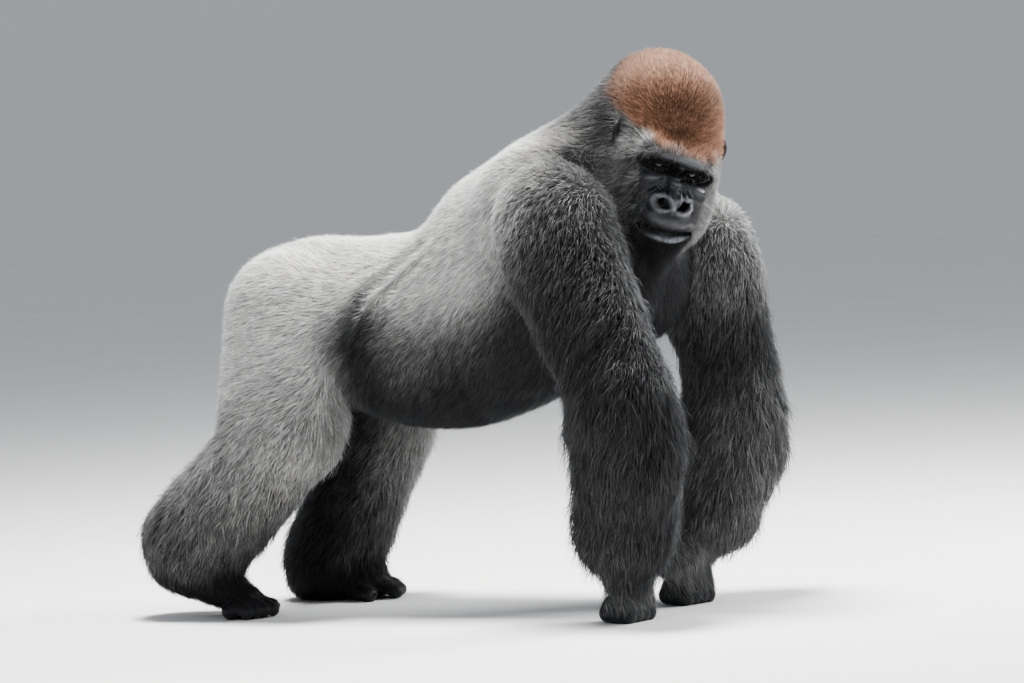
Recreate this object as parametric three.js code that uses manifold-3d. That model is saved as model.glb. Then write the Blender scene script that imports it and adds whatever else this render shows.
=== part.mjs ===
// A life-size western lowland gorilla, an adult silverback male, standing still on
// the knuckles of both hands and the soles of both feet, with its head turned to
// its right. Millimetres. +X is the way the body faces, +Y its left, +Z up, and
// the floor is z = 0.
//
// The body is a set of soft forms (rounded cones and ellipsoids, one list for each
// part of the body) that melt into each other. Each form gives the distance to the
// flesh, and each part's coat depth is taken off it, so the solids reach out to
// the tips of the coat. The surface is meshed from that distance, cut flat at the
// floor, and parted by thin cuts at the joints a person would name.
import * as THREE from "three";
import { mergeVertices } from "three/addons/utils/BufferGeometryUtils.js";
import Module from "manifold-3d";

const wasm = await Module();
wasm.setup();

// ---- Driving dimensions ----
const RIGHT = -1;
const LEFT = 1;
const GAP = 1.2; // between two parts of the body
const EYE_RADIUS = 14;
const SHOULDER_HEIGHT = 860;
const HIP_HEIGHT = 690;
const HEAD_CENTRE = [571, -17, 990];
const HEAD_YAW = -50; // degrees, negative towards its right
const HEAD_PITCH = -17; // nose down
const HEAD_ROLL = 14; // crown towards its left

// The depth of the coat over the flesh.
const COAT = {
  head: 2,
  trunk: 17,
  upperArm: 27,
  forearm: 38,
  hand: 10,
  thigh: 24,
  shank: 28,
  foot: 7,
};

// The joints of each limb. Of an arm: how far ahead its biceps stands, how thick it is
// at the wrist, and how much slimmer it is behind. Of a leg: how far behind its bones
// the long hair of the thigh and of the calf reaches.
// The left foot is flat; the right heel is lifted.
const ARM = {
  [RIGHT]: {
    shoulder: [398, -215, SHOULDER_HEIGHT],
    elbow: [582, -292, 486],
    wrist: [552, -222, 185],
    knuckles: [532, -210, 88],
    heading: -8,
    biceps: 18,
    cuff: 62,
    slimmer: 0,
  },
  [LEFT]: {
    shoulder: [512, 220, SHOULDER_HEIGHT - 83],
    elbow: [550, 302, 480],
    wrist: [558, 212, 190],
    knuckles: [505, 125, 92],
    heading: -14,
    biceps: 60,
    cuff: 46,
    slimmer: 14,
  },
};
const LEG = {
  [RIGHT]: {
    hip: [-330, -118, HIP_HEIGHT],
    knee: [-285, -205, 430],
    ankle: [-558, -196, 165],
    heel: [-636, -196, 112],
    ball: [-452, -200, 42],
    heading: -4,
    behind: 102,
    calf: 54,
  },
  [LEFT]: {
    hip: [-330, 118, HIP_HEIGHT],
    knee: [-284, 192, 410],
    ankle: [-436, 178, 108],
    heel: [-502, 178, 46],
    ball: [-340, 186, 40],
    heading: 6,
    behind: 64,
    calf: 14,
  },
};

// ---- Small vector helpers on plain arrays ----
const add = (a, b) => [a[0] + b[0], a[1] + b[1], a[2] + b[2]];
const sub = (a, b) => [a[0] - b[0], a[1] - b[1], a[2] - b[2]];
const times = (a, s) => [a[0] * s, a[1] * s, a[2] * s];
const dot = (a, b) => a[0] * b[0] + a[1] * b[1] + a[2] * b[2];
const cross = (a, b) => [
  a[1] * b[2] - a[2] * b[1],
  a[2] * b[0] - a[0] * b[2],
  a[0] * b[1] - a[1] * b[0],
];
const unit = (a) => times(a, 1 / Math.hypot(...a));
const mix = (a, b, t) =>
  Array.isArray(a) ? add(times(a, 1 - t), times(b, t)) : a * (1 - t) + b * t;
const radians = THREE.MathUtils.degToRad;

// Forward, left and up of a frame that is yawed, then pitched nose up, then rolled to its left.
function frameOf(yaw, pitch = 0, roll = 0) {
  const turn = new THREE.Matrix4()
    .makeRotationZ(radians(yaw))
    .multiply(new THREE.Matrix4().makeRotationY(radians(-pitch)))
    .multiply(new THREE.Matrix4().makeRotationX(radians(-roll)));
  const e = turn.elements;
  return [e.slice(0, 3), e.slice(4, 7), e.slice(8, 11)];
}

// ---- Forms: each is a function of a point that returns a distance ----

// A rounded cone from a to b. wide stretches its section along the direction side.
function cone(a, b, ra, rb, { blend = 40, wide = 1, side = [0, 1, 0] } = {}) {
  const ba = sub(b, a);
  const l2 = dot(ba, ba);
  const rr = ra - rb;
  const a2 = l2 - rr * rr;
  const il2 = 1 / l2;
  const shrink = 1 / wide - 1;
  const distance = (x, y, z) => {
    let px = x - a[0];
    let py = y - a[1];
    let pz = z - a[2];
    const s = (px * side[0] + py * side[1] + pz * side[2]) * shrink;
    px += side[0] * s;
    py += side[1] * s;
    pz += side[2] * s;
    const h = px * ba[0] + py * ba[1] + pz * ba[2];
    const h2 = h - l2;
    const qx = px * l2 - ba[0] * h;
    const qy = py * l2 - ba[1] * h;
    const qz = pz * l2 - ba[2] * h;
    const x2 = qx * qx + qy * qy + qz * qz;
    const y2 = h * h * l2;
    const z2 = h2 * h2 * l2;
    const k = Math.sign(rr) * rr * rr * x2;
    if (Math.sign(h2) * a2 * z2 > k) return Math.sqrt(x2 + z2) * il2 - rb;
    if (Math.sign(h) * a2 * y2 < k) return Math.sqrt(x2 + y2) * il2 - ra;
    return (Math.sqrt(x2 * a2 * il2) + h * rr) * il2 - ra;
  };
  const reach = Math.sqrt(l2) / 2 + Math.max(ra, rb) * wide;
  return { distance, blend, centre: mix(a, b, 0.5), reach };
}

// An ellipsoid round c, with its radii along the axes of a frame.
function mass(c, [rx, ry, rz], { blend = 40, frame = frameOf(0) } = {}) {
  const [f, l, u] = frame;
  const distance = (x, y, z) => {
    const px = x - c[0];
    const py = y - c[1];
    const pz = z - c[2];
    const a = (px * f[0] + py * f[1] + pz * f[2]) / rx;
    const b = (px * l[0] + py * l[1] + pz * l[2]) / ry;
    const d = (px * u[0] + py * u[1] + pz * u[2]) / rz;
    const k0 = Math.sqrt(a * a + b * b + d * d);
    const k1 = Math.sqrt((a / rx) ** 2 + (b / ry) ** 2 + (d / rz) ** 2);
    return k1 < 1e-9 ? -Math.min(rx, ry, rz) : (k0 * (k0 - 1)) / k1;
  };
  return { distance, blend, centre: c, reach: Math.max(rx, ry, rz) };
}

// The same form taken away from what stands before it in its list.
const carve = (form) => ({ ...form, carves: true });

function softMin(a, b, k) {
  const h = Math.max(k - Math.abs(a - b), 0) / k;
  return Math.min(a, b) - (h * h * k) / 4;
}

// The distance to a list of forms melted together.
function melt(forms) {
  return (x, y, z) => {
    let d = 1e5;
    for (const form of forms) {
      const e = form.distance(x, y, z);
      d = form.carves
        ? -softMin(-d, e, form.blend)
        : softMin(d, e, form.blend);
    }
    return d;
  };
}

// A frame along a limb from a to b: at(t, out, ahead) is a point beside it.
function along(a, b, side) {
  const axis = unit(sub(b, a));
  const ahead = unit(cross([0, 1, 0], axis).map((v) => -v));
  const out = times(unit(cross(axis, ahead)), side);
  const outward = out[1] * side < 0 ? times(out, -1) : out;
  return (t, o = 0, f = 0) =>
    add(mix(a, b, t), add(times(outward, o), times(ahead, f)));
}

// ---- The body, part by part, as flesh ----

function trunkForms() {
  const forms = [
    mass([-345, 0, 700], [135, 160, 132]),
    mass([-150, 0, 648], [235, 200, 182], { blend: 90 }),
    mass([20, 0, 612], [270, 218, 195], { blend: 90 }),
    mass([215, 0, 742], [225, 222, 250], { blend: 90, frame: frameOf(0, 32) }),
    mass([368, 0, 830], [182, 205, 225], { blend: 90, frame: frameOf(-3, 20) }),
    mass([304, 0, 912], [196, 165, 108], { blend: 80, frame: frameOf(-2, 36) }),
  ];
  for (const side of [RIGHT, LEFT]) {
    forms.push(
      mass([-398, side * 82, 668], [78, 80, 112], { blend: 60 }),
      mass([445, side * 88, 735], [95, 105, 135], { blend: 60 }),
      mass([330, side * 165, 905], [120, 80, 110], { blend: 70 }),
    );
  }
  return forms;
}

function neckForms() {
  return [
    cone([385, 0, 968], headPoint(-108, -30, 84), 112, 102, { blend: 50 }),
    cone([432, 12, 880], headPoint(-44, 8, -12), 118, 82, { blend: 50 }),
  ];
}

const HEAD = frameOf(HEAD_YAW, HEAD_PITCH, HEAD_ROLL);

// A point of the head: forward, left and up of its centre between the ears.
function headPoint(forward, left, up) {
  const [f, l, u] = HEAD;
  return add(
    HEAD_CENTRE,
    add(times(f, forward), add(times(l, left), times(u, up))),
  );
}

function headMass(centre, radii, blend = 30) {
  return mass(headPoint(...centre), radii, { blend, frame: HEAD });
}

function headCone(a, b, ra, rb, blend = 15, wide = 1) {
  return cone(headPoint(...a), headPoint(...b), ra, rb, {
    blend,
    wide,
    side: HEAD[1],
  });
}

// The brow and the eyes are tilted on the head, as they are in the photograph.
const BROW_TILT = 0.12;
const browPoint = (forward, left, up) => headPoint(forward, left, up - BROW_TILT * left);

function browCone(a, b, radius, blend) {
  return cone(browPoint(...a), browPoint(...b), radius, radius, { blend });
}

function headForms() {
  const forms = [
    headMass([-15, 0, 58], [125, 119, 118]),
    headMass([-36, -22, 135], [106, 110, 80], 60),
    headMass([-95, -12, 95], [86, 92, 102], 60),
    headMass([28, 0, -92], [90, 90, 92], 50),
    headMass([84, 0, -86], [60, 66, 68], 40),
    headMass([76, 0, -176], [50, 60, 46], 40),
    browCone([102, -62, 38], [102, 62, 38], 25, 26),
    browCone([122, -38, 37], [122, 38, 37], 17, 18),
    headCone([106, 0, 14], [134, 0, -50], 14, 20, 18),
    headMass([126, 0, -102], [34, 58, 25], 16),
    headMass([118, 0, -144], [34, 52, 16], 10),
    headMass([96, 0, -170], [42, 48, 34], 25),
  ];
  for (const side of [RIGHT, LEFT]) {
    forms.push(
      headMass([20, side * 70, -30], [82, 54, 98], 40),
      headMass([42, side * 66, -112], [66, 52, 72], 40),
      browCone([98, side * 64, 30], [72, side * 84, -4], 19, 20),
      headMass([98, side * 52, -40 - side * 3], [28, 34, 26], 22),
      headMass([138, side * 24, -66], [20, 26, 23], 10),
    );
  }
  for (const side of [RIGHT, LEFT]) {
    const socket = { blend: 7, frame: HEAD };
    forms.push(
      carve(mass(browPoint(126, side * 45, 3), [34, 46, 15], socket)),
      carve(headCone([168, side * 17, -68], [132, side * 26, -60], 9, 7, 4)),
      carve(headCone([152, 0, -128], [112, side * 64, -126], 5, 3, 4)),
    );
  }
  return forms;
}

// A small round ear, hollow on its outside, lying back against the head.
function earForms(side) {
  const frame = frameOf(HEAD_YAW + side * 24, HEAD_PITCH, HEAD_ROLL);
  const out = times(frame[1], side);
  const centre = headPoint(-2, side * 119, 34);
  return [
    mass(centre, [19, 11, 29], { blend: 6, frame }),
    carve(mass(add(centre, times(out, 9)), [11, 9, 19], { blend: 5, frame })),
  ];
}

const eyeCentre = (side) => browPoint(92, side * 38, 2);

function upperArmForms(side) {
  const { shoulder, elbow, biceps, slimmer } = ARM[side];
  const at = along(shoulder, elbow, side);
  return [
    cone(shoulder, elbow, 100, 78 - slimmer),
    mass(at(0.08, 14, 4), [104, 82, 128]),
    cone(at(0.25, -6, biceps), at(0.8, 0, 30), 62, 50),
    cone(at(0.2, 6, slimmer - 45), at(0.85, 4, slimmer * 2 - 28), 68, 52 - slimmer),
  ];
}

// A point behind and below the elbow, where long hair hangs. A form there that is
// thinner than nothing is as thick as the coat less that much.
const elbowTuft = (elbow, ahead, up) => add(elbow, [ahead, 0, up]);

function forearmForms(side) {
  const { elbow, wrist, cuff } = ARM[side];
  const at = along(elbow, wrist, side);
  return [
    cone(elbow, wrist, 72, cuff),
    cone(at(0.02, 0, 4), at(0.95, 0, -42), 46, cuff - 4),
    mass(at(0.35, 8, 18), [83, 76, 136]),
    cone(elbowTuft(elbow, -85, -30), elbowTuft(elbow, -148, -94), 6, -25, { blend: 20 }),
  ];
}

// The hand rests on the backs of its four bent fingers.
function handForms(side) {
  const { wrist, knuckles, heading } = ARM[side];
  const [ahead, left] = frameOf(heading);
  const inward = times(left, -side);
  const forms = [
    cone(wrist, knuckles, 46, 36, { blend: 30, wide: 1.35, side: left }),
  ];
  const spread = 25; // from one finger to the next
  for (let finger = 0; finger < 4; finger++) {
    const across = (1.5 - finger) * spread;
    const root = add(knuckles, add(times(inward, across), times(ahead, 4)));
    const bend = [root[0] + ahead[0] * 14, root[1] + ahead[1] * 14, 17];
    const tip = add(bend, add(times(ahead, -48), [0, 0, 3]));
    const nail = add(tip, add(times(ahead, 6), [0, 0, 26]));
    forms.push(
      cone(root, bend, 20, 17, { blend: 9 }),
      cone(bend, tip, 18, 16, { blend: 6 }),
      cone(tip, nail, 14, 11, { blend: 5 }),
    );
  }
  const thumbRoot = add(mix(wrist, knuckles, 0.55), times(inward, 44));
  const thumbTip = add(thumbRoot, add(times(ahead, 6), [0, 0, -58]));
  forms.push(cone(thumbRoot, thumbTip, 19, 12, { blend: 14 }));
  return forms;
}

function thighForms(side) {
  const { hip, knee, behind } = LEG[side];
  const at = along(hip, knee, side);
  return [
    cone(hip, knee, 122, 84),
    cone(at(0.3, 0, 25), at(0.95, 0, 18), 98, 72),
    cone(at(0.05, 5, -38), at(0.85, 0, -behind), 105, 80),
  ];
}

function shankForms(side) {
  const { knee, ankle, heel, calf } = LEG[side];
  const at = along(knee, ankle, side);
  return [
    cone(knee, ankle, 86, 86),
    cone(at(0.12, 0, -34), at(0.62, 0, -30), 66, 54),
    cone(at(0.6, 0, -22), mix(ankle, heel, 0.7), 46, 34),
    cone(at(0.5, 0, -calf * 0.8), at(1.06, 0, -calf), 66, 74),
  ];
}

function footForms(side) {
  const { ankle, heel, ball, heading } = LEG[side];
  const [ahead, left] = frameOf(heading);
  const inward = times(left, -side);
  const forms = [
    cone(heel, ball, 38, 31, { blend: 30, wide: 1.3, side: left }),
    cone(ankle, mix(heel, ball, 0.6), 44, 34, { blend: 40 }),
    cone(heel, ankle, 36, 40, { blend: 20 }),
  ];
  const spread = 23;
  for (let toe = 0; toe < 4; toe++) {
    const across = (0.8 - toe) * spread;
    const root = add(ball, add(times(inward, across), times(ahead, -4)));
    const low = [root[0], root[1], 20];
    const reach = 66 - toe * 7;
    const bend = add(low, add(times(ahead, reach * 0.55), [0, 0, 8]));
    const tip = add(low, add(times(ahead, reach), [0, 0, -5]));
    forms.push(
      cone(low, bend, 19, 14, { blend: 9 }),
      cone(bend, tip, 14, 12.5, { blend: 6 }),
    );
  }
  const bigRoot = add(mix(heel, ball, 0.62), times(inward, 34));
  const bigTip = add(ball, add(times(inward, 74), times(ahead, 18)));
  bigRoot[2] = 34;
  bigTip[2] = 16;
  forms.push(cone(bigRoot, bigTip, 25, 17, { blend: 18 }));
  return forms;
}

// ---- The parts of the body: their forms, and the coat over them ----
const part = (name, forms, coat) => {
  const flesh = melt(forms);
  const hull = (x, y, z) => flesh(x, y, z) - coat;
  const low = [0, 1, 2].map((m) => Math.min(...forms.map((f) => f.centre[m] - f.reach)));
  const high = [0, 1, 2].map((m) => Math.max(...forms.map((f) => f.centre[m] + f.reach)));
  return { name, hull, low: low.map((v) => v - coat), high: high.map((v) => v + coat) };
};

// A length that is never more than the distance from a point to a part's box.
function apart({ low, high }, x, y, z) {
  return Math.max(
    low[0] - x,
    x - high[0],
    low[1] - y,
    y - high[1],
    low[2] - z,
    z - high[2],
  );
}

const sided = (side) => (side === RIGHT ? "right" : "left");
const parts = [part("head", headForms(), COAT.head)];
for (const side of [RIGHT, LEFT]) {
  parts.push(
    part(`hand_${sided(side)}`, handForms(side), COAT.hand),
    part(`foot_${sided(side)}`, footForms(side), COAT.foot),
  );
}
parts.push(part("neck", neckForms(), COAT.trunk));
for (const side of [RIGHT, LEFT]) {
  parts.push(
    part(`forearm_${sided(side)}`, forearmForms(side), COAT.forearm),
    part(`upper_arm_${sided(side)}`, upperArmForms(side), COAT.upperArm),
    part(`shank_${sided(side)}`, shankForms(side), COAT.shank),
    part(`thigh_${sided(side)}`, thighForms(side), COAT.thigh),
  );
}
parts.push(part("trunk", trunkForms(), COAT.trunk));

const JOIN = 34; // how softly one part melts into the next

function body(x, y, z) {
  let d = 1e5;
  for (const p of parts)
    if (apart(p, x, y, z) < d + JOIN) d = softMin(d, p.hull(x, y, z), JOIN);
  return d;
}

// ---- Meshing: one vertex in each cell that the surface crosses ----

// Steps from low to high: each stretch is [its end, its cell].
function steps(low, stretches) {
  const stops = [low];
  for (const [end, cell] of stretches) {
    const start = stops.at(-1);
    const count = Math.ceil((end - start) / cell);
    for (let n = 1; n <= count; n++) stops.push(start + ((end - start) * n) / count);
  }
  return stops;
}

const evenSteps = (low, high, cell) => low.map((v, m) => steps(v, [[high[m], cell]]));

function surfaceOf(field, stops) {
  const n = stops.map((list) => list.length);
  const stride = [1, n[0], n[0] * n[1]];
  const values = new Float32Array(n[0] * n[1] * n[2]);
  const each = (first, last, visit) => {
    for (let k = first; k < n[2] - last; k++)
      for (let j = first; j < n[1] - last; j++)
        for (let i = first; i < n[0] - last; i++)
          visit([i, j, k], i * stride[0] + j * stride[1] + k * stride[2]);
  };
  each(0, 0, (where, at) => {
    const edge = where.some((v, m) => v === 0 || v === n[m] - 1);
    const d = field(...where.map((v, m) => stops[m][v]));
    values[at] = edge ? Math.max(d, 4) : d;
  });
  for (let pass = 0; pass < 3; pass++)
    each(0, 1, (where, at) => unpinch(values, at, stride));
  const positions = [];
  const vertexAt = new Int32Array(values.length).fill(-1);
  each(0, 1, (where, at) => {
    const middle = crossing(values, at, stride);
    if (!middle) return;
    vertexAt[at] = positions.length / 3;
    where.forEach((v, m) => {
      positions.push(stops[m][v] + middle[m] * (stops[m][v + 1] - stops[m][v]));
    });
  });
  const index = [];
  each(0, 1, (where, at) => {
    const inside = values[at] < 0;
    for (let m = 0; m < 3; m++) {
      if (inside === values[at + stride[m]] < 0) continue;
      const p = stride[(m + 1) % 3];
      const q = stride[(m + 2) % 3];
      const [a, b, c, d] = [at, at - p, at - p - q, at - q].map((cell) => vertexAt[cell]);
      if (inside) index.push(a, b, c, a, c, d);
      else index.push(a, c, b, a, d, c);
    }
  });
  return new THREE.BufferGeometry()
    .setAttribute("position", new THREE.Float32BufferAttribute(positions, 3))
    .setIndex(index);
}

// Where inside and outside alternate round a face of a cell, the surface would touch
// itself along an edge: the outer corner that is nearest to it is taken in.
function unpinch(values, at, stride) {
  for (let m = 0; m < 3; m++) {
    const p = stride[m];
    const q = stride[(m + 1) % 3];
    const ring = [at, at + p, at + p + q, at + q];
    const [a, b, c, d] = ring.map((corner) => values[corner] < 0);
    if (a !== c || b !== d || a === b) continue;
    const outer = ring.filter((corner) => values[corner] >= 0);
    outer.sort((one, other) => values[one] - values[other]);
    values[outer[0]] = -0.01;
  }
}

const CORNERS = [0, 1, 2, 3, 4, 5, 6, 7].map((c) => [c & 1, (c >> 1) & 1, c >> 2]);
const EDGES = CORNERS.flatMap((_, a) =>
  [1, 2, 4].filter((bit) => !(a & bit)).map((bit) => [a, a | bit]),
);

// The mean of the points where the surface crosses the edges of one cell, from 0 to 1.
function crossing(values, at, stride) {
  const v = CORNERS.map((c) => values[at + dot(c, stride)]);
  const sum = [0, 0, 0];
  let count = 0;
  for (const [a, b] of EDGES) {
    if (v[a] < 0 === v[b] < 0) continue;
    const t = v[a] / (v[a] - v[b]);
    for (let m = 0; m < 3; m++)
      sum[m] += CORNERS[a][m] + t * (CORNERS[b][m] - CORNERS[a][m]);
    count++;
  }
  return count ? times(sum, 1 / count) : null;
}

// Moves each vertex towards the surface itself, by at most the reach.
function settled(geometry, field, reach) {
  const p = geometry.attributes.position.array;
  const h = 0.5;
  for (let v = 0; v < p.length; v += 3) {
    const [x, y, z] = p.slice(v, v + 3);
    const d = field(x, y, z);
    const g = [
      (field(x + h, y, z) - field(x - h, y, z)) / (2 * h),
      (field(x, y + h, z) - field(x, y - h, z)) / (2 * h),
      (field(x, y, z + h) - field(x, y, z - h)) / (2 * h),
    ];
    const g2 = Math.max(dot(g, g), 0.25);
    for (let m = 0; m < 3; m++)
      p[v + m] -= THREE.MathUtils.clamp((d * g[m]) / g2, -reach, reach);
  }
  return geometry;
}

const ROUNDS = 24;

// Drops every vertex that can slide onto a neighbour while the surface moves by
// less than the tolerance in all, in rounds that never touch two neighbours at once.
function thinned(geometry, tolerance) {
  const p = geometry.attributes.position.array;
  const spent = new Float32Array(p.length / 3);
  const point = (v) => [p[3 * v], p[3 * v + 1], p[3 * v + 2]];
  const normalOf = ([a, b, c]) =>
    cross(sub(point(b), point(a)), sub(point(c), point(a)));
  let faces = [];
  const index = geometry.index.array;
  for (let n = 0; n < index.length; n += 3) faces.push([...index.slice(n, n + 3)]);
  for (let round = 0; round < ROUNDS; round++) {
    const around = new Map();
    for (const face of faces)
      for (const v of face) around.set(v, [...(around.get(v) ?? []), face]);
    const slides = [];
    for (const [v, fan] of around) {
      const allowed = tolerance(...point(v)) - spent[v];
      const best = bestSlide(v, fan, around, point, normalOf, allowed);
      if (best.to !== undefined) slides.push(best);
    }
    slides.sort((a, b) => a.error - b.error);
    const locked = new Set();
    for (const { from, to, error } of slides) {
      const ring = around.get(from).flat();
      if (ring.some((v) => locked.has(v))) continue;
      for (const v of ring) {
        locked.add(v);
        spent[v] = Math.max(spent[v], spent[from] / 2 + error);
      }
      for (const face of around.get(from)) {
        if (face.includes(to)) face.gone = true;
        face[face.indexOf(from)] = to;
      }
    }
    faces = faces.filter((face) => !face.gone);
    if (slides.length === 0) break;
  }
  return new THREE.BufferGeometry()
    .setAttribute("position", new THREE.Float32BufferAttribute(p.slice(), 3))
    .setIndex(faces.flat());
}

// The neighbour that a vertex can slide onto with the least movement of its faces.
// A vertex on the floor stays on the floor.
function bestSlide(from, fan, around, point, normalOf, tolerance) {
  const ring = new Set(fan.flat());
  ring.delete(from);
  const here = point(from);
  const before = fan.map(normalOf);
  const normals = before.map((normal) => times(normal, 1 / (Math.hypot(...normal) + 1e-9)));
  let best = { error: tolerance };
  for (const to of ring) {
    if (here[2] < 0.01 && point(to)[2] > 0.01) continue;
    const slide = sub(point(to), here);
    const error = Math.max(...normals.map((normal) => Math.abs(dot(normal, slide))));
    if (error >= best.error) continue;
    const shared = [...new Set(around.get(to).flat())].filter((v) => ring.has(v));
    if (shared.length !== 3) continue;
    const sound = fan.every((face, n) => {
      if (face.includes(to)) return true;
      const corners = face.map((v) => (v === from ? to : v)).map(point);
      const slender = slenderness(corners);
      if (slender < 0.08 && slender < slenderness(face.map(point))) return false;
      const moved = cross(sub(corners[1], corners[0]), sub(corners[2], corners[0]));
      return dot(moved, normals[n]) >= 0.6 * Math.hypot(...moved);
    });
    if (sound) best = { from, to, error };
  }
  return best;
}

// Twice the area of a triangle over its longest side squared: near zero for a sliver.
function slenderness([a, b, c]) {
  const sides = [sub(b, a), sub(c, b), sub(a, c)];
  const longest = Math.max(...sides.map((side) => dot(side, side)));
  return Math.hypot(...cross(sides[0], sides[1])) / (longest + 1e-9);
}

// ---- Solids ----

function solidOf(geometry) {
  const bare = geometry.clone();
  for (const name of Object.keys(bare.attributes))
    if (name !== "position") bare.deleteAttribute(name);
  const merged = mergeVertices(bare, 1e-4);
  return new wasm.Manifold(
    new wasm.Mesh({
      numProp: 3,
      vertProperties: new Float32Array(merged.attributes.position.array),
      triVerts: new Uint32Array(merged.index.array),
    }),
  );
}

function geometryOf(solid) {
  const mesh = solid.getMesh();
  const positions = [];
  for (let v = 0; v < mesh.numVert; v++)
    positions.push(...mesh.vertProperties.slice(v * mesh.numProp, v * mesh.numProp + 3));
  const geometry = new THREE.BufferGeometry()
    .setAttribute("position", new THREE.Float32BufferAttribute(positions, 3))
    .setIndex([...mesh.triVerts]);
  geometry.computeVertexNormals();
  return geometry;
}

const largest = (solid) =>
  solid.decompose().reduce((a, b) => (a.volume() > b.volume() ? a : b));

// A geometry that stands on a frame: its own x, y and z become the frame's axes.
function placed(geometry, origin, axes) {
  const basis = axes.map((axis) => new THREE.Vector3(...axis));
  const place = new THREE.Matrix4().makeBasis(...basis).setPosition(...origin);
  return solidOf(geometry.applyMatrix4(place));
}

const floorBox = new THREE.BoxGeometry(3000, 3000, 400).translate(0, 0, -200);

// The hollow in the coat in which an ear shows.
function earHollow(side) {
  const ball = new THREE.SphereGeometry(1, 12, 8).scale(52, 33, 44);
  return placed(ball, headPoint(20, side * 142, 34), HEAD);
}

// The whole body, finest round the head, the hands and the feet.
const bodyStops = [
  steps(-760, [[-600, 32], [-250, 17], [430, 32], [750, 15], [780, 30]]),
  steps(-460, [[-290, 30], [220, 16], [490, 30]]),
  steps(-40, [[-2, 19], [110, 14], [760, 32], [1250, 16], [1290, 20]]),
];
// How far the surface may be moved as it is thinned out: least in the face.
function bodyTolerance(x, y, z) {
  if (x > 480 && z > 760) return 4;
  return z < 100 ? 3.4 : 13;
}

const bodySurface = settled(surfaceOf(body, bodyStops), body, 6);
const whole = solidOf(thinned(bodySurface, bodyTolerance))
  .subtract(solidOf(floorBox))
  .subtract(earHollow(RIGHT))
  .subtract(earHollow(LEFT));

// ---- Parting the body with cutters, each with a smaller twin that leaves the gap ----
const FAR = 700;

// A frame whose second axis is the given one.
function frameDown(direction) {
  const down = unit(direction);
  const across = unit(cross(down, [0, 0, 1]));
  return [across, down, cross(across, down)];
}

// Everything past a flat cut across a limb, within a reach across it and ahead of it.
const pastCut = (origin, direction, reach, ahead = reach) => (inset) =>
  placed(
    new THREE.BoxGeometry(2 * reach, FAR, 2 * ahead).translate(0, FAR / 2 + inset, 0),
    origin,
    frameDown(direction),
  );

// A ball at the upper joint of a limb, and a cone from there past the lower one.
const roundLimb = (upper, lower, upperRadius, lowerRadius) => (inset) => {
  const length = Math.hypot(...sub(lower, upper)) * 1.6;
  const end = mix(upperRadius, lowerRadius, 1.6) - inset;
  const start = upperRadius - inset;
  const tube = new THREE.CylinderGeometry(end, start, length, 12);
  const axes = frameDown(sub(lower, upper));
  return placed(tube.translate(0, length / 2, 0), upper, axes).add(
    placed(new THREE.SphereGeometry(start, 12, 8), upper, axes),
  );
};

// Balls round the skull, the brow and the jaws.
const headCutter = (inset) =>
  [
    [[-12, 0, 92], [160, 152, 176]],
    [[40, 0, 8], [128, 134, 120]],
    [[34, 0, -84], [156, 128, 172]],
  ]
    .map(([centre, radii]) => {
      const [f, l, u] = radii.map((r) => r - inset);
      const ball = new THREE.SphereGeometry(1, 14, 8).scale(f, l, u);
      return placed(ball, headPoint(...centre), HEAD);
    })
    .reduce((a, b) => a.add(b));

function cuts() {
  const list = [["head", headCutter]];
  for (const side of [RIGHT, LEFT]) {
    const { shoulder, elbow, wrist, knuckles } = ARM[side];
    const { hip, knee, ankle } = LEG[side];
    const flat = side === LEFT;
    const sole = flat ? [0.1, 0, -1] : [0.36, 0, -0.93];
    const instep = add(ankle, flat ? [0, 0, -22] : [12, 0, -74]);
    const behind = [-12, 0, 0];
    const elbowCut = add(unit(sub(elbow, shoulder)), unit(sub(wrist, elbow)));
    const kneeCut = add(unit(sub(knee, hip)), unit(sub(ankle, knee)));
    kneeCut[1] = 0;
    const name = flat ? "left" : "right";
    list.push(
      [`hand_${name}`, pastCut(mix(wrist, knuckles, 0.1), sub(knuckles, elbow), 150)],
      [`forearm_${name}`, pastCut(elbow, elbowCut, 165)],
      [`upper_arm_${name}`, roundLimb(shoulder, elbow, 160, 136)],
      [`foot_${name}`, pastCut(instep, sole, 170, 300)],
      [`shank_${name}`, pastCut(knee, kneeCut, 180, 500)],
      [`thigh_${name}`, roundLimb(add(hip, behind), add(knee, behind), 176, 160)],
    );
  }
  list.push(["neck", pastCut([432, 5, 975], [0.74, 0.12, 0.66], 230)]);
  return list;
}

const solids = {};
let rest = whole;
for (const [name, cutter] of cuts()) {
  solids[name] = largest(rest.intersect(cutter(GAP)));
  rest = largest(rest.subtract(cutter(0)));
}
solids.trunk = rest;

// ---- Eyes and ears, each in a pocket of the head a little wider than itself ----
const POCKET = 1;

function eyeSolid(side, radius) {
  const ball = new THREE.SphereGeometry(radius, 14, 8);
  return placed(ball, eyeCentre(side), HEAD);
}

function earSolid(side, outset) {
  const ear = melt(earForms(side));
  const centre = earForms(side)[0].centre;
  const stops = evenSteps(add(centre, [-45, -45, -45]), add(centre, [45, 45, 45]), 8);
  const surface = surfaceOf((x, y, z) => ear(x, y, z) - outset, stops);
  return largest(solidOf(thinned(surface, () => 0.4)));
}

for (const side of [RIGHT, LEFT]) {
  const name = side === LEFT ? "left" : "right";
  solids[`eye_${name}`] = eyeSolid(side, EYE_RADIUS);
  solids[`ear_${name}`] = earSolid(side, 0);
  solids.head = largest(
    solids.head.subtract(eyeSolid(side, EYE_RADIUS + POCKET)).subtract(earSolid(side, POCKET)),
  );
}

// ---- The model ----
const FINAL_TOLERANCE = 0.25;

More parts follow.
